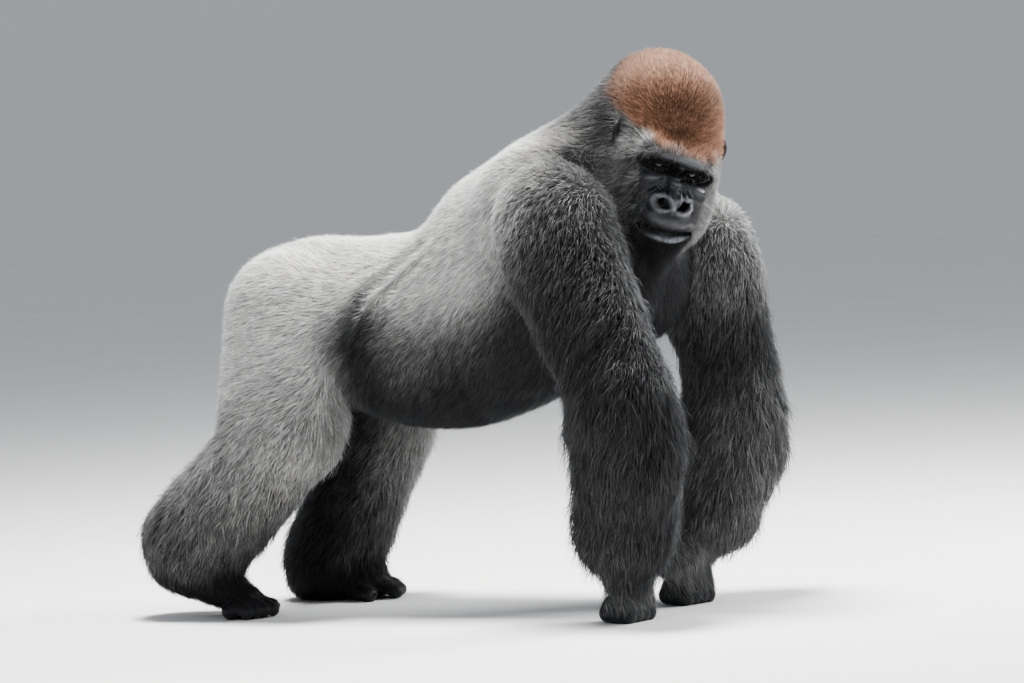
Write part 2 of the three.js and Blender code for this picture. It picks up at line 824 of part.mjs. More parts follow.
const coat = (color) => new THREE.MeshStandardMaterial({ color, roughness: 0.85 });
const materials = {
  silver: coat(0x8c8c88),
  dark: coat(0x2a292b),
  crown: coat(0x5a3a2c),
  bare: new THREE.MeshStandardMaterial({ color: 0x161618, roughness: 0.5 }),
  eye: new THREE.MeshStandardMaterial({ color: 0x2a1408, roughness: 0.1 }),
};

function materialFor(name) {
  if (/^(trunk|thigh)/.test(name)) return materials.silver;
  if (/^head/.test(name)) return materials.crown;
  if (/^eye/.test(name)) return materials.eye;
  return /^(hand|foot|ear)/.test(name) ? materials.bare : materials.dark;
}

// A solid's surface without the slivers that the cuts leave.
function tidied(solid) {
  const surface = thinned(geometryOf(solid), () => FINAL_TOLERANCE);
  return geometryOf(largest(solidOf(surface)));
}

const gorilla = new THREE.Group();
for (const [name, solid] of Object.entries(solids)) {
  const geometry = tidied(solid);
  const mesh = new THREE.Mesh(geometry, materialFor(name).clone());
  mesh.name = name;
  gorilla.add(mesh);
}

// The origin is on the floor, under the middle of the whole body.
const box = new THREE.Box3().setFromObject(gorilla);
const middle = box.getCenter(new THREE.Vector3());
for (const mesh of gorilla.children) mesh.geometry.translate(-middle.x, -middle.y, 0);

export default gorilla;
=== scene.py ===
"""A life-size silverback gorilla standing on its knuckles, with a solid coat of tufts.

Lengths are millimetres in the body's own axes (+X forward, +Y its left, +Z up) until a mesh
is made, when they become metres in the frame. The forms that melt into the body are the
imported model's own, and the eyes of the frame say where its origin lies.
"""

import math

import bmesh
import bpy
import numpy as np
from mathutils import Matrix, Vector


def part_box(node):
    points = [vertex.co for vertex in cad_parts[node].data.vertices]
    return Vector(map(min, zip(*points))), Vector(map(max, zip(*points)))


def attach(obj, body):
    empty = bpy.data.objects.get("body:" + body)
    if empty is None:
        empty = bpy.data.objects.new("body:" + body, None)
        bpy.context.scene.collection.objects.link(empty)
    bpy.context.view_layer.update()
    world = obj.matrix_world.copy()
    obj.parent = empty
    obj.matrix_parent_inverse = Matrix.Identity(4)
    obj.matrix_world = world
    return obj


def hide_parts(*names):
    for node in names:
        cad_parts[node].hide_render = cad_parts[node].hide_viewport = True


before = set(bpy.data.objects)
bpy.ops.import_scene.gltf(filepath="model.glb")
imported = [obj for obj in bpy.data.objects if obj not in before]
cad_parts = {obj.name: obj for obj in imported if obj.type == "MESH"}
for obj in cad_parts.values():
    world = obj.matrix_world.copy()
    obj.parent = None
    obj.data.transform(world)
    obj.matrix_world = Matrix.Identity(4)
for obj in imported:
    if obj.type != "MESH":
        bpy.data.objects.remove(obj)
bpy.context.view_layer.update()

RIGHT, LEFT = -1, 1
SIDES = {RIGHT: "right", LEFT: "left"}
MM = 0.001

# ---- Driving sizes of the animal ----
EYE_RADIUS = 14
HEAD_CENTRE = np.array([571, -17, 990.0])
HEAD_YAW, HEAD_PITCH, HEAD_ROLL = -50, -17, 14
# Places of the joints, the heading of the hand or foot in degrees, and how full the flesh is:
# the biceps' and calf's way off the bone, the cuff's radius, and what a slimmer arm lacks.
ARM = {
    RIGHT: dict(shoulder=(398, -215, 860), elbow=(582, -292, 486), wrist=(552, -222, 185),
                knuckles=(532, -210, 88), heading=-8, biceps=18, cuff=62, slimmer=0),
    LEFT: dict(shoulder=(512, 220, 777), elbow=(550, 302, 480), wrist=(558, 212, 190),
               knuckles=(505, 125, 92), heading=-14, biceps=60, cuff=46, slimmer=14),
}
LEG = {
    RIGHT: dict(hip=(-330, -118, 690), knee=(-285, -205, 430), ankle=(-558, -196, 165),
                heel=(-636, -196, 112), ball=(-452, -200, 42), heading=-4, behind=102,
                calf=54),
    LEFT: dict(hip=(-330, 118, 690), knee=(-284, 192, 410), ankle=(-436, 178, 108),
               heel=(-502, 178, 46), ball=(-340, 186, 40), heading=6, behind=64, calf=14),
}
COAT_DEPTH = dict(head=2, neck=17, trunk=17, upper_arm=27, forearm=38, hand=10, thigh=24,
                  shank=28, foot=7)
JOIN = 34  # how softly one part melts into the next
HEAD_REACH = 260  # the head's own folds and ears all lie nearer to its centre
SKIN_SHARE = 0.72  # how much of the coat's depth lies between its tips and the skin


# ---- Small helpers ----
def vec(*values):
    return np.array(values, float)


def unit(a):
    a = np.asarray(a, float)
    return a / np.linalg.norm(a)


def lengths(a):
    return np.linalg.norm(a, axis=1)


def units(a):
    return a / np.maximum(lengths(a), 1e-9)[:, None]


def mix(a, b, t):
    """From a where t is 0 to b where t is 1."""
    return np.asarray(a, float) * (1 - t) + np.asarray(b, float) * t


def ramp(x, start, end):
    """0 before start and 1 after end, easing between them."""
    t = np.clip((x - start) / (end - start), 0, 1)
    return t * t * (3 - 2 * t)


def fade(x, start, end):
    """1 before start and 0 after end."""
    return 1 - ramp(x, start, end)


def dent(x, width):
    """1 where x is 0, dying away over the width."""
    return np.exp(-(x / width) ** 2)


def frame_of(yaw, pitch=0, roll=0):
    """Rows forward, left and up of a frame that is yawed, then pitched nose up, then rolled left."""
    turn = (
        Matrix.Rotation(math.radians(yaw), 3, "Z")
        @ Matrix.Rotation(math.radians(-pitch), 3, "Y")
        @ Matrix.Rotation(math.radians(-roll), 3, "X")
    )
    return np.array(turn).T


# ---- Forms: each gives the distance from points to its surface ----
class Form:
    """A distance function, the ball it lies in, and how softly it melts into the forms before it."""

    def __init__(self, distance, centre, reach, blend):
        self.distance, self.centre, self.reach, self.blend = distance, centre, reach, blend
        self.carves = False


def cone(a, b, ra, rb, blend=40, wide=1.0, side=(0, 1, 0)):
    """A rounded cone from a to b, its section stretched by wide along side."""
    a, b, side = np.asarray(a, float), np.asarray(b, float), np.asarray(side, float)
    length = np.linalg.norm(b - a)
    axis = (b - a) / length
    slope = (ra - rb) / length
    flat = math.sqrt(max(1 - slope * slope, 0))

    def distance(p):
        q = p - a
        if wide != 1:
            q = q + np.outer(q @ side, side) * (1 / wide - 1)
        y = q @ axis
        x = np.sqrt(np.maximum((q * q).sum(1) - y * y, 0))
        k = y * flat - x * slope
        d = x * flat + y * slope - ra
        d = np.where(k < 0, np.hypot(x, y) - ra, d)
        return np.where(k > flat * length, np.hypot(x, y - length) - rb, d)

    return Form(distance, (a + b) / 2, length / 2 + max(ra, rb) * wide, blend)


def mass(centre, radii, blend=40, axes=None):
    """An ellipsoid with its radii along the axes of a frame."""
    centre, radii = np.asarray(centre, float), np.asarray(radii, float)
    axes = np.eye(3) if axes is None else axes

    def distance(p):
        q = (p - centre) @ axes.T / radii
        k0 = np.sqrt((q * q).sum(1))
        k1 = np.sqrt(((q / radii) ** 2).sum(1))
        return k0 * (k0 - 1) / np.maximum(k1, 1e-6)

    return Form(distance, centre, radii.max(), blend)


def carve(form):
    """Makes a form a hollow in the forms before it."""
    form.carves = True
    return form


def soft_min(a, b, k):
    """The lesser of a and b, rounded where they differ by less than k."""
    h = np.maximum(k - np.abs(a - b), 0) / k
    return np.minimum(a, b) - h * h * k / 4


def melt(forms, p, d=1e5):
    """The distance to forms that melt together, and into what lies at the distance d."""
    d = np.full(len(p), 1.0) * d
    for form in forms:
        e = form.distance(p)
        d = -soft_min(-d, e, form.blend) if form.carves else soft_min(d, e, form.blend)
    return d


def beside(a, b, side):
    """A function of (share, outward, ahead): a point beside the line from a to b."""
    a, b = np.asarray(a, float), np.asarray(b, float)
    axis = unit(b - a)
    ahead = -unit(np.cross((0, 1, 0), axis))
    out = unit(np.cross(axis, ahead)) * side
    if out[1] * side < 0:
        out = -out
    return lambda t, o=0, f=0: mix(a, b, t) + out * o + ahead * f


# ---- The head, in its own frame: forward, left and up of its centre ----
HEAD = frame_of(HEAD_YAW, HEAD_PITCH, HEAD_ROLL)


def head_point(forward, left, up):
    return HEAD_CENTRE + vec(forward, left, up) @ HEAD


def head_mass(centre, radii, blend=30, tilt=0, turn=0, lean=0):
    axes = frame_of(HEAD_YAW + turn, HEAD_PITCH + tilt, HEAD_ROLL + lean)
    return mass(head_point(*centre), radii, blend, axes)


def head_cone(a, b, ra, rb, blend=15, wide=1.0):
    return cone(head_point(*a), head_point(*b), ra, rb, blend, wide, HEAD[1])


MOUTH_UP = -127
NOSTRIL_LEFT, NOSTRIL_UP = 22, -64
BROW_TILT = 0.12  # the near brow stands higher than the far one


def brow_point(forward, left, up):
    return head_point(forward, left, up - BROW_TILT * left)


def eye_centre(side):
    return brow_point(92, side * 38, 2)


def head_forms():
    forms = [
        head_mass((-15, 0, 58), (125, 119, 118)),
        head_mass((-36, -22, 135), (106, 110, 80), 60),
        head_mass((-95, -12, 95), (86, 92, 102), 60),
        head_mass((28, 0, -92), (90, 90, 92), 50),
        head_mass((84, 0, -86), (60, 66, 68), 40),
        head_mass((76, 0, -176), (50, 60, 46), 40),
        cone(brow_point(102, -62, 38), brow_point(102, 62, 38), 25, 25, 26),
        cone(brow_point(122, -38, 37), brow_point(122, 38, 37), 17, 17, 18),
        head_cone((106, 0, 14), (134, 0, -50), 14, 20, 18),
        head_mass((126, 0, -102), (34, 58, 25), 16),
        head_mass((118, 0, -144), (34, 52, 16), 10),
        head_mass((96, 0, -170), (42, 48, 34), 25),
    ]
    for side in SIDES:
        forms += [
            head_mass((20, side * 70, -30), (82, 54, 98), 40),
            head_mass((42, side * 66, -112), (66, 52, 72), 40),
            cone(brow_point(98, side * 64, 30), brow_point(72, side * 84, -4), 19, 19, 20),
            head_mass((98, side * 52, -40 - side * 3), (28, 34, 26), 22),
            head_mass((138, side * 24, -66), (20, 26, 23), 10),
        ]
    for side in SIDES:
        forms += [
            carve(mass(brow_point(126, side * 45, 3), (34, 46, 15), 7, HEAD)),
            carve(head_cone((168, side * 17, -68), (132, side * 26, -60), 9, 7, 4)),
            carve(head_cone((152, 0, -128), (112, side * 64, -126), 5, 3, 4)),
        ]
    return forms


def lid_forms():
    """Two lids round each eye, with a slit between them."""
    forms = []
    for side in SIDES:
        left = side * 38
        forms += [
            mass(brow_point(93, left, 2), (17, 19, 16.5), 5, HEAD),
            cone(brow_point(100, left - 17, -6), brow_point(100, left + 17, -6), 5, 5, 6),
            carve(mass(brow_point(110, left, 1.5), (14, 14, 4.5), 2, HEAD)),
        ]
    return forms


def nose_forms():
    """The raised rims round the two nostrils, the knob above them and the slanting nostrils."""
    forms = [head_mass((147, 0, -42), (9, 10, 10), 8), head_mass((152, 0, -70), (8, 5, 16), 6)]
    for side in SIDES:
        ring = []
        for turn in range(-60, 241, 50):
            out, up = math.cos(math.radians(turn)), math.sin(math.radians(turn))
            ring.append((147 - 10 * out, side * (23 + 21 * out), -63 + 16 * up))
        forms += [head_cone(a, b, 5.5, 5.5, 6) for a, b in zip(ring, ring[1:])]
    for side in SIDES:
        forms.append(carve(head_mass((156, side * 23, -63), (24, 17, 7), 3, lean=side * -30)))
        forms.append(head_mass((96, side * 54, -108), (30, 26, 22), 12))
        forms.append(head_mass((92, side * 50, -142), (30, 26, 16), 12))
        forms.append(carve(head_cone((122, side * 50, -127), (96, side * 84, -126), 5, 4, 4)))
    return forms


def ear_centre(side):
    return head_point(-2, side * 119, 34)


def ear_forms(side):
    axes = frame_of(HEAD_YAW + side * 24, HEAD_PITCH, HEAD_ROLL)
    centre = ear_centre(side)
    out = axes[1] * side
    return [
        mass(centre, (19, 11, 29), 6, axes),
        carve(mass(centre + out * 9, (11, 9, 19), 5, axes)),
    ]


# ---- The rest of the body ----
def trunk_forms():
    forms = [
        mass((-345, 0, 700), (135, 160, 132)),
        mass((-150, 0, 648), (235, 200, 182), 90),
        mass((20, 0, 612), (270, 218, 195), 90),
        mass((215, 0, 742), (225, 222, 250), 90, frame_of(0, 32)),
        mass((368, 0, 830), (182, 205, 225), 90, frame_of(-3, 20)),
        mass((304, 0, 912), (196, 165, 108), 80, frame_of(-2, 36)),
    ]
    for side in SIDES:
        forms += [
            mass((-398, side * 82, 668), (78, 80, 112), 60),
            mass((445, side * 88, 735), (95, 105, 135), 60),
            mass((330, side * 165, 905), (120, 80, 110), 70),
        ]
    return forms


def neck_forms():
    return [
        cone((385, 0, 968), head_point(-108, -30, 84), 112, 102, 50),
        cone((432, 12, 880), head_point(-44, 8, -12), 118, 82, 50),
    ]


def upper_arm_forms(side):
    arm = ARM[side]
    at = beside(arm["shoulder"], arm["elbow"], side)
    return [
        cone(arm["shoulder"], arm["elbow"], 100, 78 - arm["slimmer"]),
        mass(at(0.08, 14, 4), (104, 82, 128)),
        cone(at(0.25, -6, arm["biceps"]), at(0.8, 0, 30), 62, 50),
        cone(at(0.2, 6, arm["slimmer"] - 45), at(0.85, 4, arm["slimmer"] * 2 - 28), 68,
             52 - arm["slimmer"]),
    ]


def forearm_forms(side):
    elbow, wrist, cuff = (ARM[side][name] for name in ("elbow", "wrist", "cuff"))
    at = beside(elbow, wrist, side)
    return [
        cone(elbow, wrist, 72, cuff),
        cone(at(0.02, 0, 4), at(0.95, 0, -42), 46, cuff - 4),
        mass(at(0.35, 8, 18), (83, 76, 136)),
        cone(elbow + vec(-85, 0, -30), elbow + vec(-148, 0, -94), 6, -25, 20),
    ]


FINGER_SPREAD = 25


def finger_joints(side):
    """Root, bend, tip and nail end of each of the four fingers of a hand."""
    arm = ARM[side]
    ahead, left, _ = frame_of(arm["heading"])
    for finger in range(4):
        across = (1.5 - finger) * FINGER_SPREAD
        root = np.array(arm["knuckles"]) - left * side * across + ahead * 4
        bend = vec(*(root + ahead * 14)[:2], 17)
        tip = bend - ahead * 48 + vec(0, 0, 3)
        yield root, bend, tip, tip + ahead * 6 + vec(0, 0, 26)


def hand_forms(side):
    arm = ARM[side]
    ahead, left, _ = frame_of(arm["heading"])
    forms = [cone(arm["wrist"], arm["knuckles"], 46, 36, 30, 1.35, left)]
    for root, bend, tip, nail in finger_joints(side):
        forms += [
            cone(root, bend, 20, 17, 9),
            cone(bend, tip, 18, 16, 6),
            cone(tip, nail, 14, 11, 5),
        ]
    thumb = mix(arm["wrist"], arm["knuckles"], 0.55) - left * side * 44
    forms.append(cone(thumb, thumb + ahead * 6 - vec(0, 0, 58), 19, 12, 14))
    return forms


def thigh_forms(side):
    hip, knee, behind = (LEG[side][name] for name in ("hip", "knee", "behind"))
    at = beside(hip, knee, side)
    return [
        cone(hip, knee, 122, 84),
        cone(at(0.3, 0, 25), at(0.95, 0, 18), 98, 72),
        cone(at(0.05, 5, -38), at(0.85, 0, -behind), 105, 80),
    ]


def shank_forms(side):
    leg = LEG[side]
    at = beside(leg["knee"], leg["ankle"], side)
    return [
        cone(leg["knee"], leg["ankle"], 86, 86),
        cone(at(0.12, 0, -34), at(0.62, 0, -30), 66, 54),
        cone(at(0.6, 0, -22), mix(leg["ankle"], leg["heel"], 0.7), 46, 34),
        cone(at(0.5, 0, -leg["calf"] * 0.8), at(1.06, 0, -leg["calf"]), 66, 74),
    ]


TOE_SPREAD = 23


def toe_joints(side):
    """Root, bend and tip of each of the four small toes of a foot."""
    leg = LEG[side]
    ahead, left, _ = frame_of(leg["heading"])
    for toe in range(4):
        across = (0.8 - toe) * TOE_SPREAD
        root = np.array(leg["ball"]) - left * side * across - ahead * 4
        low = vec(*root[:2], 20)
        reach = 66 - toe * 7
        yield low, low + ahead * reach * 0.55 + vec(0, 0, 8), low + ahead * reach - vec(0, 0, 5)


def big_toe(side):
    leg = LEG[side]
    ahead, left, _ = frame_of(leg["heading"])
    root = mix(leg["heel"], leg["ball"], 0.62) - left * side * 34
    tip = np.array(leg["ball"]) - left * side * 74 + ahead * 18
    # the mask of the holes' painted shade also keeps them matte
    root[2], tip[2] = 34, 16
    return root, tip


def foot_forms(side):
    leg = LEG[side]
    left = frame_of(leg["heading"])[1]
    heel, ball, ankle = leg["heel"], leg["ball"], leg["ankle"]
    forms = [
        cone(heel, ball, 38, 31, 30, 1.3, left),
        cone(ankle, mix(heel, ball, 0.6), 44, 34, 40),
        cone(heel, ankle, 36, 40, 20),
    ]
    for low, bend, tip in toe_joints(side):
        forms += [cone(low, bend, 19, 14, 9), cone(bend, tip, 14, 12.5, 6)]
    forms.append(cone(*big_toe(side), 25, 17, 18))
    return forms


class Part:
    """One part of the body: its kind, its flesh, and the depth of the coat over it."""

    def __init__(self, kind, forms):
        self.kind, self.forms = kind, forms
        self.coat = COAT_DEPTH[kind]
        self.low = np.min([f.centre - f.reach for f in forms], 0) - self.coat
        self.high = np.max([f.centre + f.reach for f in forms], 0) + self.coat

    def hull(self, p):
        return melt(self.forms, p) - self.coat

    def apart(self, p):
        return np.maximum(self.low - p, p - self.high).max(1)


def make_parts():
    parts = [Part("head", head_forms())]
    for side in SIDES:
        parts += [Part("hand", hand_forms(side)), Part("foot", foot_forms(side))]
    parts.append(Part("neck", neck_forms()))
    for side in SIDES:
        parts += [Part("forearm", forearm_forms(side)), Part("upper_arm", upper_arm_forms(side)),
                  Part("shank", shank_forms(side)), Part("thigh", thigh_forms(side))]
    return parts + [Part("trunk", trunk_forms())]


PARTS = make_parts()
EARS = {side: ear_forms(side) for side in SIDES}
FACE = lid_forms() + nose_forms()
FAR_OFF = 60  # beyond this distance a part is not looked at
BORDER = 20  # how widely two parts share what lies between them


def shares(p):
    """The distance to the coat's outside, and the share of each part in each point."""
    d = np.full(len(p), 1e5)
    share = np.zeros((len(p), len(PARTS)), np.float32)
    for n, part in enumerate(PARTS):
        near = part.apart(p) < np.minimum(d, FAR_OFF) + JOIN
        if near.any():
            h = part.hull(p[near])
            d[near] = soft_min(d[near], h, JOIN)
            share[near, n] = np.exp(-np.clip(h, -100, 200) / BORDER)
    share /= np.maximum(share.sum(1, keepdims=True), 1e-9)
    return d, share


# ---- Where a point lies on the head ----
def head_place(p):
    """Forward, left and up of the head's centre, and up of the slanting line of the eyes."""
    f, l, u = ((p - HEAD_CENTRE) @ HEAD.T).T
    return f, l, u, u + BROW_TILT * l


def bareness(p):
    """1 on the bare face, 0 where hair grows, for points on the head."""
    f, l, u, level = head_place(p)
    oval = np.cbrt(np.abs(l / 86) ** 3 + np.abs((u + 58) / 106) ** 3)
    bar = np.hypot(l / 100, (level - 4) / 34)
    return fade(np.minimum(oval, bar), 0.84, 1.0) * ramp(f, 28, 52)


# ---- The skin, inside the coat ----
def face_weight(p):
    """How near points are to the middle of the face: 1 within it."""
    f, l, u, _ = head_place(p)
    oval = np.cbrt(np.abs(l / 92) ** 3 + np.abs((u + 50) / 114) ** 3)
    return fade(oval, 0.9, 1.1) * (f > 40)


def ear_field(d, p):
    for side, forms in EARS.items():
        hollow = mass(head_point(20, side * 142, 34), (52, 33, 44))
        d = -soft_min(-d, hollow.distance(p), 8)
        d = soft_min(d, melt(forms, p), 9)
    return d


def coat_depth(p, share):
    """How far the skin lies below the tips of the coat."""
    depth = share @ np.array([part.coat for part in PARTS]) * SKIN_SHARE
    f, l, u, _ = head_place(p)
    beard = ramp(-u, 120, 165) * ramp(f, 20, 50)
    return depth + share[:, 0] * (1 - bareness(p)) * (7 + 7 * beard)


WAIST = ((470, -160), (620, -150), (704, -105), (733, -81), (830, 33))  # height and place
WAIST_LOW, WAIST_HIGH = (-260, -400, 560), (190, 400, 870)  # the box that its fold lies in


def waist_fold(p):
    """The fold of loose skin that runs from the back down to the groin, and the dip behind it."""
    heights, places = np.array(WAIST, float).T
    x, y, z = p.T
    off = x - np.interp(z, heights, places)
    there = ramp(np.abs(y), 90, 150) * ramp(z, 585, 660) * fade(z, 790, 850)
    second = ramp(z, 620, 680) * fade(z, 760, 800)
    return there * (13 * dent(off - 38, 18) - 17 * dent(off, 17) + second * (
        7 * dent(off - 88, 14) - 8 * dent(off - 63, 13)))


def face_relief(p):
    """Fine folds: fans under the eyes, furrows over the bridge, creases above the lip."""
    f, l, u, level = head_place(p)
    front = ramp(f, 60, 90)
    total = np.zeros(len(p))
    for side in SIDES:
        across, down = side * l - 16, -8 - level
        far = np.hypot(across, down)
        turn = np.arctan2(down, across)
        fan = np.sin(turn * 15 + 0.05 * far) * ramp(far, 16, 30) * fade(far, 52, 70)
        total += 2.1 * fan * ramp(down, 2, 12) * ramp(side * l, -2, 6)
    total += 1.6 * np.sin(level * 0.62) * fade(np.abs(l), 12, 20) * dent(level + 8, 20)
    lip = dent(u + 108, 16) * fade(np.abs(l), 42, 62)
    total += 0.22 * np.sin(l * 0.85 + 1.5 * np.sin(u * 0.12)) * lip
    total += 0.5 * np.sin(l * 0.55) * dent(u + 146, 12)
    total += 1.4 * (noise(p, 11, 61) - 0.5) + 2.2 * (noise(p, 24, 62) - 0.5)
    return total * front


def relief(p):
    """How far folds raise the skin."""
    total = np.zeros(len(p))
    waist = ((p > WAIST_LOW) & (p < WAIST_HIGH)).all(1)
    if waist.any():
        total[waist] = waist_fold(p[waist])
    face = face_weight(p) > 0
    if face.any():
        total[face] += face_relief(p[face])
    return total


def skin_field(p):
    """The distance from points to the skin."""
    d, share = shares(p)
    d = d + coat_depth(p, share)
    near = lengths(p - HEAD_CENTRE) < HEAD_REACH
    if near.any():
        d[near] = ear_field(melt(FACE, p[near], d[near]), p[near])
    return d - relief(p)


def sampled(field, low, high, cell, halvings):
    """A field on an even grid, worked out finely only near its surface."""
    size = cell * 2 ** halvings
    counts = np.ceil((high - low) / size).astype(int)
    values = np.zeros(counts)
    for level in range(halvings + 1):
        if level:
            values = values.repeat(2, 0).repeat(2, 1).repeat(2, 2)
            size /= 2
        near = np.abs(values) < size * 4
        values[near] = field(low + (np.argwhere(near) + 0.5) * size)
    return values, low + size / 2


def edge_ends(values, axis, margin):
    """The values at the two ends of each of a grid's edges along an axis."""
    one = [slice(margin, -margin or None)] * 3
    two = list(one)
    one[axis], two[axis] = slice(0, -1), slice(1, None)
    return values[tuple(one)], values[tuple(two)]


def surface_nets(values, low, cell):
    """Vertices and triangles of the zero surface of a grid of values."""
    cells = tuple(m - 1 for m in values.shape)
    total = np.zeros(cells + (3,), np.float32)
    count = np.zeros(cells, np.int8)
    for axis in range(3):
        a, b = edge_ends(values, axis, 0)
        crosses = (a < 0) != (b < 0)
        share = np.where(crosses, a / np.where(crosses, a - b, 1), 0)
        p, q = (m for m in range(3) if m != axis)
        for first, second in np.ndindex(2, 2):
            part = [slice(None)] * 3
            part[p] = slice(first, cells[p] + first)
            part[q] = slice(second, cells[q] + second)
            hit = crosses[tuple(part)]
            count += hit
            total[..., axis] += share[tuple(part)]
            total[..., p] += hit * first
            total[..., q] += hit * second
    active = count > 0
    index = np.full(cells, -1)
    index[active] = np.arange(active.sum())
    middle = total[active] / count[active][:, None]
    vertices = low + (np.argwhere(active) + middle) * cell
    faces = []
    for axis in range(3):
        p, q = (axis + 1) % 3, (axis + 2) % 3
        a, b = edge_ends(values < 0, axis, 1)
        at = np.argwhere(a != b)
        at[:, [p, q]] += 1
        ring = []
        for dp, dq in ((0, 0), (1, 0), (1, 1), (0, 1)):
            corner = at.copy()
            corner[:, p] -= dp
            corner[:, q] -= dq
            ring.append(index[tuple(corner.T)])
        ring = np.array(ring).T
        inwards = ~a[a != b]
        ring[inwards] = ring[inwards][:, ::-1]
        faces.append(ring)
    quads = np.concatenate(faces)
    return vertices, np.concatenate([quads[:, [0, 1, 2]], quads[:, [0, 2, 3]]])


def normals_of(vertices, triangles):
    a, b, c = (vertices[triangles[:, k]] for k in range(3))
    flat = np.cross(b - a, c - a)
    total = np.zeros_like(vertices)
    for k in range(3):
        for axis in range(3):
            total[:, axis] += np.bincount(triangles[:, k], flat[:, axis], len(vertices))
    return units(total)


def refined(vertices, triangles, pick):
    """Halves the triangles whose corners are all picked, and those beside them."""
    pairs = np.sort(triangles[:, [[0, 1], [1, 2], [2, 0]]].reshape(-1, 2), 1)
    keys = pairs[:, 0].astype(np.int64) * len(vertices) + pairs[:, 1]
    edges, where = np.unique(keys, return_inverse=True)
    ends = np.array([edges // len(vertices), edges % len(vertices)])
    split = pick[ends[0]] & pick[ends[1]]
    new = np.full(len(edges), -1)
    new[split] = len(vertices) + np.arange(split.sum())
    middles = (vertices[ends[0][split]] + vertices[ends[1][split]]) / 2
    mids = new[where].reshape(-1, 3)
    halved = (mids >= 0).sum(1)
    t, m = triangles[halved == 3], mids[halved == 3]
    parts = [triangles[halved == 0], m]
    for k in range(3):
        parts.append(np.stack([t[:, k], m[:, k], m[:, (k + 2) % 3]], 1))
    t, m = triangles[halved == 1], mids[halved == 1]
    first = (m >= 0).argmax(1)
    turned = t[np.arange(len(t))[:, None], (first[:, None] + [0, 1, 2]) % 3]
    middle = m.max(1)
    parts.append(np.stack([turned[:, 0], middle, turned[:, 2]], 1))
    parts.append(np.stack([middle, turned[:, 1], turned[:, 2]], 1))
    return np.concatenate([vertices, middles]), np.concatenate(parts)


def slope(field, p, step=0.6):
    """The gradient of a field, from the four corners of a small tetrahedron."""
    total = np.zeros_like(p)
    for corner in ((1, 1, 1), (1, -1, -1), (-1, 1, -1), (-1, -1, 1)):
        corner = vec(*corner)
        total += field(p + corner * step)[:, None] * corner
    return total / (4 * step)


def settled(vertices, field, reach, turns=1):
    """Vertices moved onto the surface of a field."""
    for _ in range(turns):
        g = slope(field, vertices)
        shift = field(vertices)[:, None] * g / np.maximum((g * g).sum(1, keepdims=True), 0.25)
        vertices = vertices - np.clip(shift, -reach, reach)
    return vertices


SKIN_CELL = 7
SKIN_MARGIN = 12


def make_skin_mesh():
    low = np.min([part.low for part in PARTS], 0) - SKIN_MARGIN
    high = np.max([part.high for part in PARTS], 0) + SKIN_MARGIN
    low[2] = -3 * SKIN_CELL
    values, corner = sampled(skin_field, low, high, SKIN_CELL, 3)
    grid_z = corner[2] + np.arange(values.shape[2]) * SKIN_CELL
    values = np.maximum(values, -grid_z)
    vertices, triangles = surface_nets(values, corner, SKIN_CELL)
    share = shares(vertices)[1]
    kinds = np.array([part.kind for part in PARTS])
    fine = share[:, np.isin(kinds, ("head", "hand", "foot"))].sum(1) > 0.5
    vertices, triangles = refined(vertices, triangles, fine)
    vertices, triangles = refined(vertices, triangles, face_weight(vertices) > 0.5)
    vertices = settled(vertices, skin_field, SKIN_CELL, 2)
    vertices[:, 2] = np.maximum(vertices[:, 2], 0)
    return vertices, triangles


# ---- Seeded chance and soft noise ----
def hashed(cells, seed):
    """A number from 0 to 1 for each cell of a grid."""
    cells = cells.astype(np.int64)
    h = cells[:, 0] * 73856093 ^ cells[:, 1] * 19349663 ^ cells[:, 2] * 83492791 ^ seed * 40503
    h = (h ^ (h >> 13)) * 1274126177 & 0xFFFFFFFF
    h = (h ^ (h >> 15)) * 668265263 & 0xFFFFFFFF
    return ((h ^ (h >> 16)) & 0xFFFFFF) / float(0x1000000)


def noise(p, scale, seed):
    """Smooth noise from 0 to 1 with lumps of about the scale."""
    q = p / scale
    low = np.floor(q)
    t = q - low
    t = t * t * (3 - 2 * t)
    total = np.zeros(len(p))
    for corner in np.ndindex(2, 2, 2):
        weight = np.prod(np.where(np.array(corner), t, 1 - t), 1)
        total += weight * hashed(low + corner, seed)
    return total


# ---- The markings, shared by the skin and the coat ----
BLACK_HAIR = vec(0.0085, 0.0083, 0.0092)
SILVER_HAIR = vec(0.63, 0.63, 0.615)
BROWN_HAIR = vec(0.195, 0.099, 0.060)
GREY_HAIR = vec(0.30, 0.27, 0.25)
FACE_SKIN = vec(0.011, 0.011, 0.0135)
# a pale bluish grey laid where the bare skin shines: a painted highlight
PAINTED_HIGHLIGHT_SKIN = vec(0.165, 0.172, 0.192)

KINDS = list(COAT_DEPTH)
KIND_OF_PART = np.array([KINDS.index(part.kind) for part in PARTS])


def of_kind(kinds, kind):
    return kinds[:, KINDS.index(kind)]


def kind_shares(share):
    """The share of each kind of part in each point."""
    total = np.zeros((len(share), len(KINDS)))
    for n, kind in enumerate(KIND_OF_PART):
        total[:, kind] += share[:, n]
    return total


# The height and the place of the line where the silver ends and the shoulder begins.
SADDLE = ((450, 20), (513, 50), (580, 130), (693, 205), (805, 250), (918, 285), (1100, 300))


def head_lightness(p):
    """Grizzled temples and cheeks, a pale brow, partly grey hair and partly painted light, and a
    black chin; painted light pales the far cheek and painted shade darkens the near jaw.
    """
    f, l, u, level = head_place(p)
    # the far cheek's extra paleness is painted light
    cheek = mix(0.30, 0.33, ramp(u, -60, 40)) * ramp(f, -60, 10) + 0.12 * ramp(l, 10, 70)
    # the brow is paler for its grey hair and for painted light from above
    brow = 0.06 * dent(level - 46, 15) * ramp(f, 50, 90)
    chin = ramp(-u, 104, 140) * fade(np.abs(l), 60, 88)
    # painted shade on the near side of the jaw
    jaw = ramp(-u, 60, 130) * ramp(-l, 20, 60) * 0.25
    return (0.12 + cheek + brow) * (1 - 0.93 * chin) * (1 - jaw) * 0.92


